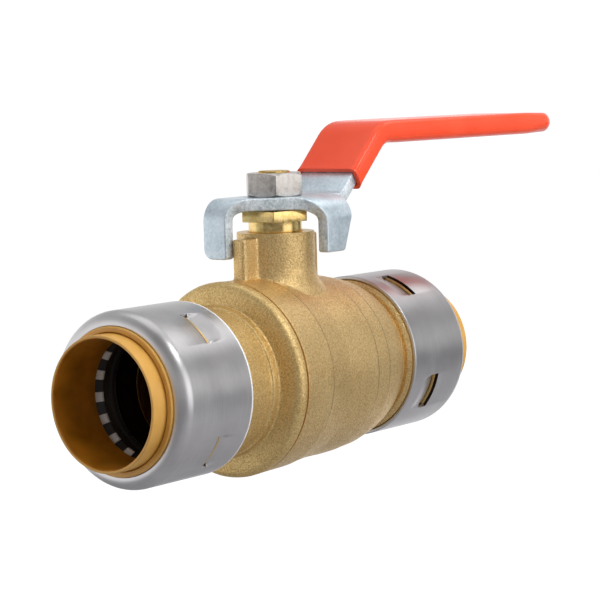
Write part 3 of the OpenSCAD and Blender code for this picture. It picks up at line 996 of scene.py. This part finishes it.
        # The inward-facing bore wall takes the darker amber: painted shade.
        for face in collar.data.polygons:
            radius = math.hypot(*face.center.yz)
            if radius < 14.8 * MM and face.center.yz.dot(face.normal.yz) < -0.35 * radius:
                face.material_index = 1
        return collar

    def build_grab_ring(self) -> bpy.types.Object:
        """Builds the toothed ring: a flat washer and leaning teeth."""
        low, high = self.socket_end_s, self.socket_end_s + 0.4
        ring = turned([Corner(16.3, low), Corner(18.78, low), Corner(18.78, high),
                       Corner(16.3, high)], self.axis)
        teeth = arc_blocks([
            Corner(16.4, low), Corner(16.4, high), Corner(16.15, high),
            Corner(14.35, high - 2.05), Corner(14.35, low - 2.15),
        ], self.axis, self.tooth_phase - self.tooth_angle / 2, self.tooth_angle,
            self.tooth_count)
        return self.add("grab_ring", [ring, teeth], "body", "stainless_shell", TOOTH)

    def build_protector(self) -> bpy.types.Object:
        """Builds the black ring that keeps the teeth off the O-ring."""
        return self.add("protector", [turned([
            Corner(14.5, 10.0, 0.2), Corner(16.95, 10.0), Corner(16.95, self.socket_end_s),
            Corner(16.65, self.socket_end_s), Corner(14.5, 12.25, 0.2),
        ], self.axis)], "body", "black_plastic", BLACK)

    def build_o_ring(self) -> bpy.types.Object:
        """Builds the O-ring."""
        low, inner, width = 7.3, 14.35, 2.6
        return self.add("o_ring", [turned([
            Corner(inner, low, width / 2), Corner(inner + width, low, width / 2),
            Corner(inner + width, low + width, width / 2), Corner(inner, low + width, width / 2),
        ], self.axis, steps=128, segments=8)], "body", "black_rubber", RUBBER)

    @staticmethod
    def detents(axis: Axis, phase: float) -> bmesh.types.BMesh:
        """Returns the brass ribs that show in the shell's four slits."""
        angle = 26.8
        return arc_blocks([Corner(18.1, 9.3), Corner(19.85, 9.4), Corner(19.85, 9.95),
                           Corner(18.1, 10.05)], axis, phase - angle / 2, angle, 4)

    @staticmethod
    def socket_outline() -> list[Corner]:
        """Returns the brass socket from its flange to its end and back to the stop face."""
        return [
            Corner(18.3, -0.75, 0.6), Corner(19.38, 0.15, 0.5), Corner(19.38, 4.0),
            Corner(18.28, 4.6, 0.2), Corner(18.28, 10.1), Corner(19.4, 10.1, 0.15),
            Corner(19.38, 14.5, 0.2),
            Corner(17.0, 14.5, 0.1), Corner(17.0, 7.2), Corner(14.45, 7.2, 0.12),
            Corner(14.45, 1.0), Corner(14.3, 0.6), Corner(14.3, -3.5), Corner(12.5, -3.5, 0.25),
        ]


# ---- Body ------------------------------------------------------------------------------------

@dataclass
class ValveBody:
    """The forged body with its turned outlet end, and the screwed-in end adapter."""

    joint_x: float = -18.1
    neck_r: float = 9.42
    neck_top: float = 33.8
    lug_reach: float = 14.5
    lug_top: float = 32.7
    lug_half: float = 1.9
    barrel_r: float = 22.3
    crotch_width: float = 3.2
    voxel: float = 0.3
    end_x: float = 27.2
    outlet_x: float = OUTLET_X
    inlet_x: float = INLET_X

    # The numbers of the body's materials, in slot order.
    SKIN, WATERWAY, NECK_BORE, OILED = range(4)

    def build(self) -> None:
        """Builds the body and the end adapter."""
        self.build_body()
        self.build_adapter()

    def build_body(self) -> bpy.types.Object:
        """Forges the outside, then turns and bores it like the real casting."""
        obj = as_object("valve_body_piece", self.barrel(), self.neck(), self.lug(-1), self.lug(1))
        remesh = obj.modifiers.new("forge", "REMESH")
        remesh.mode, remesh.voxel_size, remesh.adaptivity = "VOXEL", self.voxel * MM, 0.0
        settle(obj)
        edit(obj, self.wear)
        far = self.outlet_x
        end = [Corner(0, 24.0), Corner(17.2, 24.0), Corner(17.2, far - 0.9, 0.5)]
        socket = [Corner(c.radius, far + c.station, c.fillet)
                  for c in TubePort.socket_outline()[:7]]
        combine(obj, turned([*end, *socket, Corner(0, far + 14.5)], Axis.PIPE, closed=False),
                "UNION")
        combine(obj, turned([
            Corner(0, -40), Corner(20.5, -40), Corner(20.5, -10.4), Corner(18.9, -10.4),
            Corner(18.9, 9.7), Corner(18.4, 9.7), Corner(18.4, 14.65), Corner(12.5, 14.65),
            Corner(12.5, far - 3.5), Corner(14.45, far - 3.5), Corner(14.45, far + 7.2),
            Corner(17.0, far + 7.2), Corner(17.0, far + 30), Corner(0, far + 30),
        ], Axis.PIPE, closed=False), "DIFFERENCE")
        combine(obj, turned([
            Corner(0, 0), Corner(7.2, 0), Corner(7.2, 22.8), Corner(5.05, 22.8),
            Corner(5.05, 25), Corner(6.6, 25), Corner(6.6, self.neck_top - 0.5),
            Corner(7.4, self.neck_top + 0.3), Corner(7.4, 60), Corner(0, 60),
        ], Axis.STEM, closed=False), "DIFFERENCE")
        combine(obj, TubePort.detents(Axis.OUTLET, 27), "UNION")
        combine(obj, block((-60, -60, self.neck_top), (60, 60, 90)), "DIFFERENCE")
        combine(obj, block((-60, -60, -60), (self.joint_x, 60, 60)), "DIFFERENCE")
        finish_piece(obj, "body", [FORGED, TURNED_PIPE, TURNED_STEM, BORE_OIL_AND_SHADE],
                     ["valve_body"], sharp=38)
        self.mark_machined(obj)
        return obj

    def barrel(self) -> bmesh.types.BMesh:
        """Returns the barrel's outside, a little longer than it will be at the joint."""
        return turned([
            Corner(0, self.joint_x - 2), Corner(22.9, self.joint_x - 2),
            Corner(23.2, self.joint_x + 0.6), Corner(23.0, -8.3), Corner(22.86, -8.1),
            Corner(22.55, -4.8), Corner(22.15, -0.6), Corner(22.2, 7.0), Corner(22.15, 10.9),
            Corner(22.0, 11.1), Corner(21.7, 16.1), Corner(21.55, 16.3), Corner(20.8, 20.4),
            Corner(19.7, 24.0, 4.0), Corner(18.4, 26.5, 1.0), Corner(17.3, self.end_x, 0.4),
            Corner(0, self.end_x),
        ], Axis.PIPE, closed=False, steps=240)

    def neck(self) -> bmesh.types.BMesh:
        """Returns the upright neck with its flared foot."""
        return turned([
            Corner(0, 10), Corner(self.neck_r + 2.4, 10), Corner(self.neck_r + 2.4, 19.6),
            Corner(self.neck_r + 1.3, 21.2), Corner(self.neck_r + 0.35, 23.2, 3.0),
            Corner(self.neck_r, 25.4, 2.0), Corner(self.neck_r, self.neck_top + 1.5),
            Corner(0, self.neck_top + 1.5),
        ], Axis.STEM, closed=False)

    def lug(self, side: int) -> bmesh.types.BMesh:
        """Returns the stop lug on one side of the neck."""
        bm = block((side * 4.0, -self.lug_half, 12),
                   (side * self.lug_reach, self.lug_half, self.lug_top))
        tall = [e for e in bm.edges if abs(sum(v.co.x for v in e.verts) / 2) > self.lug_reach - 1
                and abs(e.verts[0].co.z - e.verts[1].co.z) > 1]
        round_edges(bm, tall, 0.9, 4)
        return bm

    def wear(self, bm: bmesh.types.BMesh) -> None:
        """Rounds the forging's edges, fills the crotch under the neck and ripples its skin."""
        relax(bm, bm.verts[:], 3)
        crotch = [v for v in bm.verts if v.co.z >= 14
                  and v.co.yz.length - self.barrel_r < self.crotch_width
                  and -0.5 < v.co.xy.length - self.neck_r < self.crotch_width]
        relax(bm, crotch, 14)
        bm.normal_update()
        for vert in bm.verts:
            ripple = 0.035 * noise.noise(vert.co / 3.2) + 0.014 * noise.noise(vert.co / 0.9)
            vert.co += vert.normal * ripple

    def mark_machined(self, obj: bpy.types.Object) -> None:
        """Gives cut faces the turned finish: the outlet end, the bores and the neck's top; the
        outlet's bore gets a dark brown that stands for oil and painted shade.
        """
        for face in obj.data.polygons:
            x, y, z = face.center / MM
            across, around = math.hypot(y, z), math.hypot(x, y)
            if x > self.outlet_x or x < self.joint_x + 0.02 or across < 16.9 and around > 7.5:
                # Deep in the outlet, dark brown for oil and painted shade.
                oil_and_shade_zone = across < 16.9 and x > self.outlet_x - 5
                face.material_index = self.OILED if oil_and_shade_zone else self.WATERWAY
            elif z > self.neck_top - 0.6 or around < 7.3:
                cut = around < 7.5 or z > self.neck_top - 0.02
                face.material_index = self.NECK_BORE if cut else self.SKIN
            elif across < 20.6 and x < -10.3 and abs(face.normal.x) < 0.1 and z < 12:
                face.material_index = self.WATERWAY

    def build_adapter(self) -> bpy.types.Object:
        """Turns the end adapter: socket, neck, rim and threaded spigot."""
        shift = -self.inlet_x
        socket = [Corner(c.radius, shift - c.station, c.fillet)
                  for c in TubePort.socket_outline()]
        bm = turned([
            *socket, Corner(12.5, -14.65, 0.2), Corner(18.45, -14.65), Corner(18.45, -11),
            Corner(20.35, -11, 0.3), Corner(20.35, -18.1), Corner(22.3, -18.1, 0.1),
            Corner(23.28, -18.75, 0.4), Corner(23.3, -21.0, 1.9),
            Corner(17.95, -22.3, 0.5), Corner(17.8, -24.3, 0.35), Corner(17.4, -24.6, 0.25),
            Corner(17.4, shift + 0.9, 0.4),
        ], Axis.PIPE, steps=240)
        bmesh.ops.subdivide_edges(bm, edges=[e for e in bm.edges if e.calc_length() > 1.2],
                                  cuts=2, use_grid_fill=True)
        obj = as_object("end_adapter_piece", bm, TubePort.detents(Axis.INLET, 52))
        edit(obj, self.roughen_adapter)
        finish_piece(obj, "body", [TURNED_PIPE, FORGED_END, BORE_OIL_AND_SHADE, BORE_DEEP_SHADE],
                     ["end_adapter"], sharp=38)
        for face in obj.data.polygons:
            x, across = face.center.x / MM, math.hypot(*face.center.yz) / MM
            if -34.4 < x < self.joint_x - 0.1 and across > 17:
                face.material_index = 1
            # Inside the inlet bore: dark brown painted shade near the mouth, near-black painted
            # shade deeper in.
            elif across < 17 and x < shift + 5 and abs(x - shift + 0.8) > 0.21:
                face.material_index = 2 if x > shift - 0.8 else 3
        return obj

    def roughen_adapter(self, bm: bmesh.types.BMesh) -> None:
        """Ripples the part of the adapter's skin that is left as forged."""
        bm.normal_update()
        for vert in bm.verts:
            if -34 < vert.co.x < -18.9 and vert.co.yz.length > 17:
                vert.co += vert.normal * 0.03 * noise.noise(vert.co / 2.6)


# ---- Ball, seats and stem --------------------------------------------------------------------

@dataclass
class Trim:
    """The ball with its seats, and the stem with its seals and nut."""

    ball_r: float = 17.95
    water_r: float = 12.5
    gland_r: float = 6.5
    gland_af: float = 15.5
    gland_turn: float = 37.0
    gland_low: float = 36.4
    gland_high: float = 39.1
    plate_top: float = 42.3
    thread_r: float = 3.9
    stem_top: float = 48.5

    def build(self) -> None:
        """Builds every piece of the ball and stem sets."""
        self.build_ball()
        self.build_rings()
        self.build_stem()
        self.build_packing_nut()

    def build_ball(self) -> bpy.types.Object:
        """Bores and slots a sphere."""
        bm = bmesh.new()
        bmesh.ops.create_uvsphere(bm, u_segments=128, v_segments=64, radius=self.ball_r)
        obj = as_object("ball_piece", bm)
        combine(obj, turned([Corner(0, -30), Corner(self.water_r, -30), Corner(self.water_r, 30),
                             Corner(0, 30)], Axis.PIPE, closed=False, steps=128), "DIFFERENCE")
        combine(obj, block((-3, -30, 14.4), (3, 30, 30)), "DIFFERENCE")
        soften(obj, 0.3, 35)
        return finish_piece(obj, "ball", [CHROME], ["ball"])

    def build_rings(self) -> None:
        """Builds the soft rings: seats, adapter seal, thrust washer and stem packing."""
        for side, sign in (("inlet", -1), ("outlet", 1)):
            seat = turned([
                Corner(12.6, sign * 14.65, 0.1), Corner(18.3, sign * 14.65, 0.2),
                Corner(18.3, sign * 9.7), Corner(15.4, sign * 9.7), Corner(14.2, sign * 11.2, 2.0),
                Corner(12.6, sign * 13.1),
            ], Axis.PIPE, steps=128)
            finish_piece(as_object(f"{side}_seat_piece", seat), "body", [PTFE],
                         [f"{side}_seat"])
        rings = (
            ("adapter_seal", Axis.PIPE, 19.0, 20.35, -10.98, -10.42),
            ("thrust_washer", Axis.STEM, 5.0, 7.1, 22.0, 22.8),
            ("stem_packing", Axis.STEM, 5.0, 6.45, 25.0, 29.5),
        )
        for node, axis, inner, outer, low, high in rings:
            ring = turned([Corner(inner, low, 0.1), Corner(outer, low, 0.1),
                           Corner(outer, high, 0.1), Corner(inner, high, 0.1)], axis, steps=96)
            finish_piece(as_object(f"{node}_piece", ring), "body", [PTFE], [node])

    def build_stem(self) -> bpy.types.Object:
        """Turns the stem, mills its tang and the flats that drive the lever."""
        low = self.plate_top - 3.1
        obj = as_object("stem_piece", turned([
            Corner(0, 14.6), Corner(7.0, 14.6), Corner(7.0, 22.0, 0.2), Corner(4.9, 22.0),
            Corner(4.9, self.plate_top - 0.1, 0.3), Corner(self.thread_r, self.plate_top - 0.1),
            Corner(self.thread_r, self.stem_top, 0.55), Corner(0, self.stem_top),
        ], Axis.STEM, closed=False, steps=128))
        for side in (-1, 1):
            for half, bottom, top in ((2.8, 10, 19.4), (3.5, low, self.plate_top)):
                combine(obj, block((side * half, -20, bottom), (side * 20, 20, top)),
                        "DIFFERENCE")
        soften(obj, 0.15, 35)
        return finish_piece(obj, "handle", [TURNED_STEM], ["stem"])

    def build_packing_nut(self) -> bpy.types.Object:
        """Turns the gland nut under the lever: round shank and chamfered hexagon."""
        obj = hexagon("packing_nut_piece", self.gland_af, self.gland_low, self.gland_high,
                      self.gland_turn, top=0.2, bottom=0.0)
        combine(obj, turned([
            Corner(0, 25.5), Corner(self.gland_r, 25.5), Corner(self.gland_r, 35.2),
            Corner(self.gland_r, self.gland_low + 1), Corner(0, self.gland_low + 1),
        ], Axis.STEM, closed=False, steps=128), "UNION")
        combine(obj, turned([
            Corner(0, 20), Corner(7.6, 20), Corner(7.6, 29.5), Corner(5.0, 29.5),
            Corner(5.0, 60), Corner(0, 60),
        ], Axis.STEM, closed=False, steps=128), "DIFFERENCE")
        soften(obj, 0.12, 22)
        return finish_piece(obj, "body", [GLAND], ["packing_nut"], sharp=30)


def hexagon(name: str, across_flats: float, low: float, high: float, turn: float, top: float,
            bottom: float) -> bpy.types.Object:
    """Makes a hexagon whose corners are turned off.

    Args:
        name: The object's name.
        across_flats: Width across the flats.
        low: Lower station on the stem axis.
        high: Upper station on the stem axis.
        turn: Angle of one corner from +X, in degrees.
        top: Height of the chamfer at the upper corners, or 0 for none.
        bottom: Height of the chamfer at the lower corners, or 0 for none.

    Returns:
        The new object.
    """
    corner = across_flats / 2 / math.cos(math.radians(30))
    obj = as_object(name, prism(6, corner, low, high, turn))
    flat = across_flats / 2 - 0.15
    wide = corner + 0.05
    if bottom:
        outline = [Corner(0, low), Corner(flat, low), Corner(wide, low + bottom)]
    else:
        outline = [Corner(0, low - 1), Corner(wide, low - 1)]
    outline += [Corner(wide, high - top), Corner(flat, high), Corner(0, high)]
    combine(obj, turned(outline, Axis.STEM, closed=False, steps=144), "INTERSECT")
    return obj


# ---- Handle ----------------------------------------------------------------------------------

@dataclass
class Handle:
    """The pressed lever with its two stop tabs, its vinyl sleeve and its nut.

    The lever and the sleeve are drawn flat, with the sheet's thickness along Z, and folded
    into place like the real pressing.
    """

    thickness: float = 3.0
    mid_z: float = 40.8
    bend_r: float = 4.0
    open_bend_x: float = -10.9
    close_bend_y: float = -8.9
    tab_edge: float = 2.0
    rise_x: float = 17.1
    knee_r: float = 3.5
    crest_r: float = 8.2
    rise_angle: float = 44.0
    grip_z: float = 56.5
    tip_x: float = 118.0
    arm_half: float = 8.0
    grip_half: float = 9.4
    sleeve_half_t: float = 2.9
    slope_half_t: float = 2.65
    tip_edge_r: float = 2.86
    sleeve_skin: float = 1.1
    nut_af: float = 13.0
    nut_low: float = 42.3
    nut_high: float = 48.0
    nut_turn: float = 42.0
    knee_x: float = field(init=False)
    slope_u: float = field(init=False)
    crest_u: float = field(init=False)
    grip_u: float = field(init=False)

    def __post_init__(self) -> None:
        """Works out where each bend starts, measured along the flat sheet."""
        angle = math.radians(self.rise_angle)
        self.knee_x = self.rise_x - self.knee_r * math.tan(angle / 2)
        self.slope_u = self.knee_x + self.knee_r * angle
        slope = (self.grip_z - self.mid_z) / math.sin(angle)
        slope -= (self.knee_r + self.crest_r) * math.tan(angle / 2)
        self.crest_u = self.slope_u + slope
        self.grip_u = self.crest_u + self.crest_r * angle

    def build(self) -> None:
        """Builds the lever, the sleeve and the nut."""
        self.build_lever()
        self.build_sleeve()
        self.build_nut()

    def flat_length(self, x: float) -> float:
        """Returns how far along the flat sheet a place on the grip lies."""
        angle = math.radians(self.rise_angle)
        grip_x = self.rise_x + (self.grip_z - self.mid_z) / math.tan(angle)
        grip_x += self.crest_r * math.tan(angle / 2)
        return self.grip_u + x - grip_x

    def fold_arm(self, along: float, height: float) -> tuple[float, float]:
        """Folds a point of the arm.

        Args:
            along: Distance along the flat sheet.
            height: Distance above the sheet's middle.

        Returns:
            Its X and Z in the valve's frame.
        """
        angle = math.radians(self.rise_angle)
        knee = min(max(along - self.knee_x, 0) / self.knee_r, angle)
        crest = min(max(along - self.crest_u, 0) / self.crest_r, angle)
        x = min(along, self.knee_x) + self.knee_r * math.sin(knee)
        z = self.mid_z + self.knee_r * (1 - math.cos(knee))
        slope = min(max(along - self.slope_u, 0), self.crest_u - self.slope_u)
        x += slope * math.cos(angle) + self.crest_r * (math.sin(angle) - math.sin(angle - crest))
        z += slope * math.sin(angle) + self.crest_r * (math.cos(angle - crest) - math.cos(angle))
        x += max(along - self.grip_u, 0)
        lean = knee - crest
        return x - height * math.sin(lean), z + height * math.cos(lean)

    def roll_tab(self, distance: float, height: float) -> tuple[float, float]:
        """Folds a tab's point down: returns how far out and how high it ends up."""
        turn = min(distance / self.bend_r, math.pi / 2)
        straight = max(distance - self.bend_r * math.pi / 2, 0)
        out = (self.bend_r + height) * math.sin(turn)
        up = (self.bend_r + height) * math.cos(turn) - self.bend_r
        return out, self.mid_z + up - straight

    def fold(self, bm: bmesh.types.BMesh) -> None:
        """Folds every point of a flat sheet into place."""
        for vert in bm.verts:
            x, y, height = vert.co
            if x < self.open_bend_x:
                out, z = self.roll_tab(self.open_bend_x - x, height)
                vert.co = (self.open_bend_x - out, y, z)
            elif y < self.close_bend_y and x < self.knee_x - 1:
                out, z = self.roll_tab(self.close_bend_y - y, height)
                vert.co = (x, self.close_bend_y - out, z)
            else:
                x, z = self.fold_arm(x, height)
                vert.co = (x, y, z)

    def slice_bends(self, bm: bmesh.types.BMesh) -> None:
        """Cuts the flat sheet across each bend, so that it folds smoothly."""
        quarter = self.bend_r * math.pi / 2
        cuts = [(Vector((self.open_bend_x - quarter * i / 12, 0, 0)), (1, 0, 0))
                for i in range(13)]
        cuts += [(Vector((0, self.close_bend_y - quarter * i / 12, 0)), (0, 1, 0))
                 for i in range(13)]
        for start, end, count in ((self.knee_x, self.slope_u, 8), (self.crest_u, self.grip_u, 12)):
            cuts += [(Vector((start + (end - start) * i / count, 0, 0)), (1, 0, 0))
                     for i in range(count + 1)]
        for place, normal in cuts:
            bmesh.ops.bisect_plane(bm, geom=bm.verts[:] + bm.edges[:] + bm.faces[:], dist=1e-5,
                                   plane_co=place, plane_no=normal)

    def lever_outline(self) -> list[tuple[float, float, float]]:
        """Returns the flat lever's corners as (x, y, fillet)."""
        quarter = self.bend_r * math.pi / 2
        open_end = self.open_bend_x - quarter - (self.mid_z - self.bend_r - 28.0)
        close_end = self.close_bend_y - quarter - (self.mid_z - self.bend_r - 28.8)
        diagonal = -12.6
        tip = self.flat_length(self.tip_x - 1.45)
        return [
            (open_end, self.tab_edge, 0.8), (diagonal - self.tab_edge, self.tab_edge, 3.5),
            (self.tab_edge, diagonal - self.tab_edge, 3.5), (self.tab_edge, close_end, 0.6),
            (9.0, close_end, 1.0), (12.0, self.close_bend_y - quarter, 3.0),
            (12.0, self.close_bend_y, 1.5), (13.6, -self.arm_half, 1.0),
            (tip, -self.arm_half, 6.5), (tip, self.arm_half, 6.5),
            (12.0, self.arm_half, 2.0), (-6.0, 9.0, 4.0), (open_end, 9.0, 2.5),
        ]

    def build_lever(self) -> bpy.types.Object:
        """Blanks the lever, rounds its edges, folds it and punches the stem's hole."""
        outline = self.lever_outline()
        bm = bmesh.new()
        verts = [bm.verts.new((x, y, -self.thickness / 2)) for x, y, _ in outline]
        join_corners(bm, verts, [fillet for _, _, fillet in outline], True, 6)
        bmesh.ops.contextual_create(bm, geom=bm.edges[:])
        raise_faces(bm, self.thickness)
        bmesh.ops.recalc_face_normals(bm, faces=bm.faces[:])
        for face in bm.faces:
            face.material_index = 0 if abs(face.normal.z) > 0.5 else 1
        rims = [e for e in bm.edges if abs(e.verts[0].co.z - e.verts[1].co.z) < 1e-6
                and len({f.material_index for f in e.link_faces}) == 2]
        round_edges(bm, rims, 0.42, 4)
        self.slice_bends(bm)
        self.fold(bm)
        obj = as_object("handle_lever_piece", bm)
        hole = prism(64, 5.0, self.mid_z - 4, self.mid_z + 4, 0)
        for side in (-1, 1):
            bmesh.ops.bisect_plane(hole, geom=hole.verts[:] + hole.edges[:] + hole.faces[:],
                                   plane_co=(side * 3.6, 0, 0), plane_no=(side, 0, 0),
                                   clear_outer=True, dist=1e-5)
            edges = [e for e in hole.edges if e.is_boundary]
            bmesh.ops.contextual_create(hole, geom=edges)
        bmesh.ops.recalc_face_normals(hole, faces=hole.faces[:])
        combine(obj, hole, "DIFFERENCE")
        marks = [p.material_index for p in obj.data.polygons]
        finish_piece(obj, "handle", [ZINC, SHEARED], ["handle_lever"])
        obj.data.polygons.foreach_set("material_index", marks)
        return obj

    def build_sleeve(self) -> bpy.types.Object:
        """Draws the dipped sleeve as a flat tube that closes at the tip, then folds it."""
        start = self.slope_u + 5.1
        end = self.flat_length(self.tip_x)
        slope_t, grip_t, edge_r = self.slope_half_t, self.sleeve_half_t, self.tip_edge_r
        plan_r = self.grip_half - 1.6
        wide = self.grip_half
        bm = draw_outline([Corner(-wide, -slope_t, 1.7), Corner(wide, -slope_t, 1.7),
                           Corner(wide, slope_t, 1.7), Corner(-wide, slope_t, 1.7)], True, 7)
        bm.transform(Matrix(((0, 0, 0, 0), (1, 0, 0, 0), (0, 0, 1, 0), (0, 0, 0, 1))))
        bmesh.ops.translate(bm, vec=(start, 0, 0), verts=bm.verts[:])
        stations = [start + 0.5, start + 1.2, start + 2.2]
        stations += [self.crest_u - 4 + (self.grip_u + 4 - self.crest_u + 4) * i / 20
                     for i in range(21)]
        stations += [self.grip_u + 4 + (end - plan_r - self.grip_u - 4) * i / 8
                     for i in range(1, 8)]
        stations += [end - plan_r * (1 - math.sin(math.pi / 2 * i / 18)) for i in range(18)]
        stations += [end - 0.02]
        ring, last = bm.edges[:], (start, self.grip_half, slope_t)
        for along in stations:
            left = end - along
            wide = self.grip_half
            if left < plan_r:
                wide += math.sqrt(plan_r ** 2 - (plan_r - left) ** 2) - plan_r
            thick = slope_t + (grip_t - slope_t) * smoothstep(self.crest_u - 3, self.grip_u + 6,
                                                              along)
            if left < edge_r:
                thick += math.sqrt(edge_r ** 2 - (edge_r - left) ** 2) - edge_r
            made = bmesh.ops.extrude_edge_only(bm, edges=ring)["geom"]
            verts = [g for g in made if isinstance(g, bmesh.types.BMVert)]
            ring = [g for g in made if isinstance(g, bmesh.types.BMEdge)]
            bmesh.ops.scale(bm, vec=(1, wide / last[1], thick / last[2]), verts=verts)
            bmesh.ops.translate(bm, vec=(along - last[0], 0, 0), verts=verts)
            last = (along, wide, thick)
        bmesh.ops.contextual_create(bm, geom=ring)
        bmesh.ops.recalc_face_normals(bm, faces=bm.faces[:])
        for vert in bm.verts:
            lip = smoothstep(start + 1.6, start + 0.2, vert.co.x) if vert.co.x < start + 1.6 else 0
            vert.co.z *= 1 + 0.07 * lip
            vert.co.x += 0.7 * vert.co.z / slope_t * (1 - smoothstep(start, start + 8, vert.co.x))
            near = smoothstep(end - plan_r - 5, end - plan_r + 1, vert.co.x)
            if near:
                self.round_tip(vert, end - plan_r, plan_r, near)
        self.fold(bm)
        obj = as_object("handle_sleeve_piece", bm)
        skin = obj.modifiers.new("skin", "SOLIDIFY")
        skin.thickness, skin.offset = self.sleeve_skin * MM, -1.0
        settle(obj)
        soften(obj, 0.3, 60, 4)
        return finish_piece(obj, "handle", [VINYL], ["handle_sleeve"], sharp=50)

    def round_tip(self, vert: bmesh.types.BMVert, centre: float, plan_r: float,
                  share: float) -> None:
        """Thins the sleeve towards its outline near the tip, like a full round.

        Args:
            vert: The vertex to move, in the flat sheet.
            centre: Where the tip's round corners start.
            plan_r: Radius of those corners.
            share: How much of the rounding applies, from 0 to 1.
        """
        side = abs(vert.co.y) - (self.grip_half - plan_r)
        reach = math.hypot(max(vert.co.x - centre, 0), max(side, 0))
        inside = max(plan_r - reach, 0)
        if inside < self.sleeve_half_t:
            cap = math.sqrt(self.sleeve_half_t ** 2 - (self.sleeve_half_t - inside) ** 2)
            height = math.copysign(min(abs(vert.co.z), cap), vert.co.z)
            vert.co.z += (height - vert.co.z) * share

    def build_nut(self) -> bpy.types.Object:
        """Makes the handle nut: both ends chamfered, bored for the stem's thread."""
        obj = hexagon("handle_nut_piece", self.nut_af, self.nut_low, self.nut_high,
                      self.nut_turn, top=0.7, bottom=0.7)
        combine(obj, turned([
            Corner(0, self.nut_low - 1), Corner(4.0, self.nut_low - 1),
            Corner(4.0, self.nut_high - 0.4), Corner(4.8, self.nut_high + 0.4),
            Corner(0, self.nut_high + 0.4)], Axis.STEM, closed=False, steps=96), "DIFFERENCE")
        soften(obj, 0.22, 22)
        return finish_piece(obj, "handle", [NUT], ["handle_nut"], sharp=30)


# ---- Main ------------------------------------------------------------------------------------


def main() -> None:
    """Builds the studio and every sub-assembly in order."""
    logging.basicConfig(level=logging.INFO, format="%(name)s: %(message)s")
    Viewpoint().build()
    Studio().build()
    ValveBody().build()
    Trim().build()
    TubePort("inlet", Axis.INLET, window_phase=52, rim_s=28.5, bright_s=0.75).build()
    TubePort("outlet", Axis.OUTLET, window_phase=27, rim_s=30.4, bright_s=0.0).build()
    Handle().build()


if __name__ == "__main__":
    main()
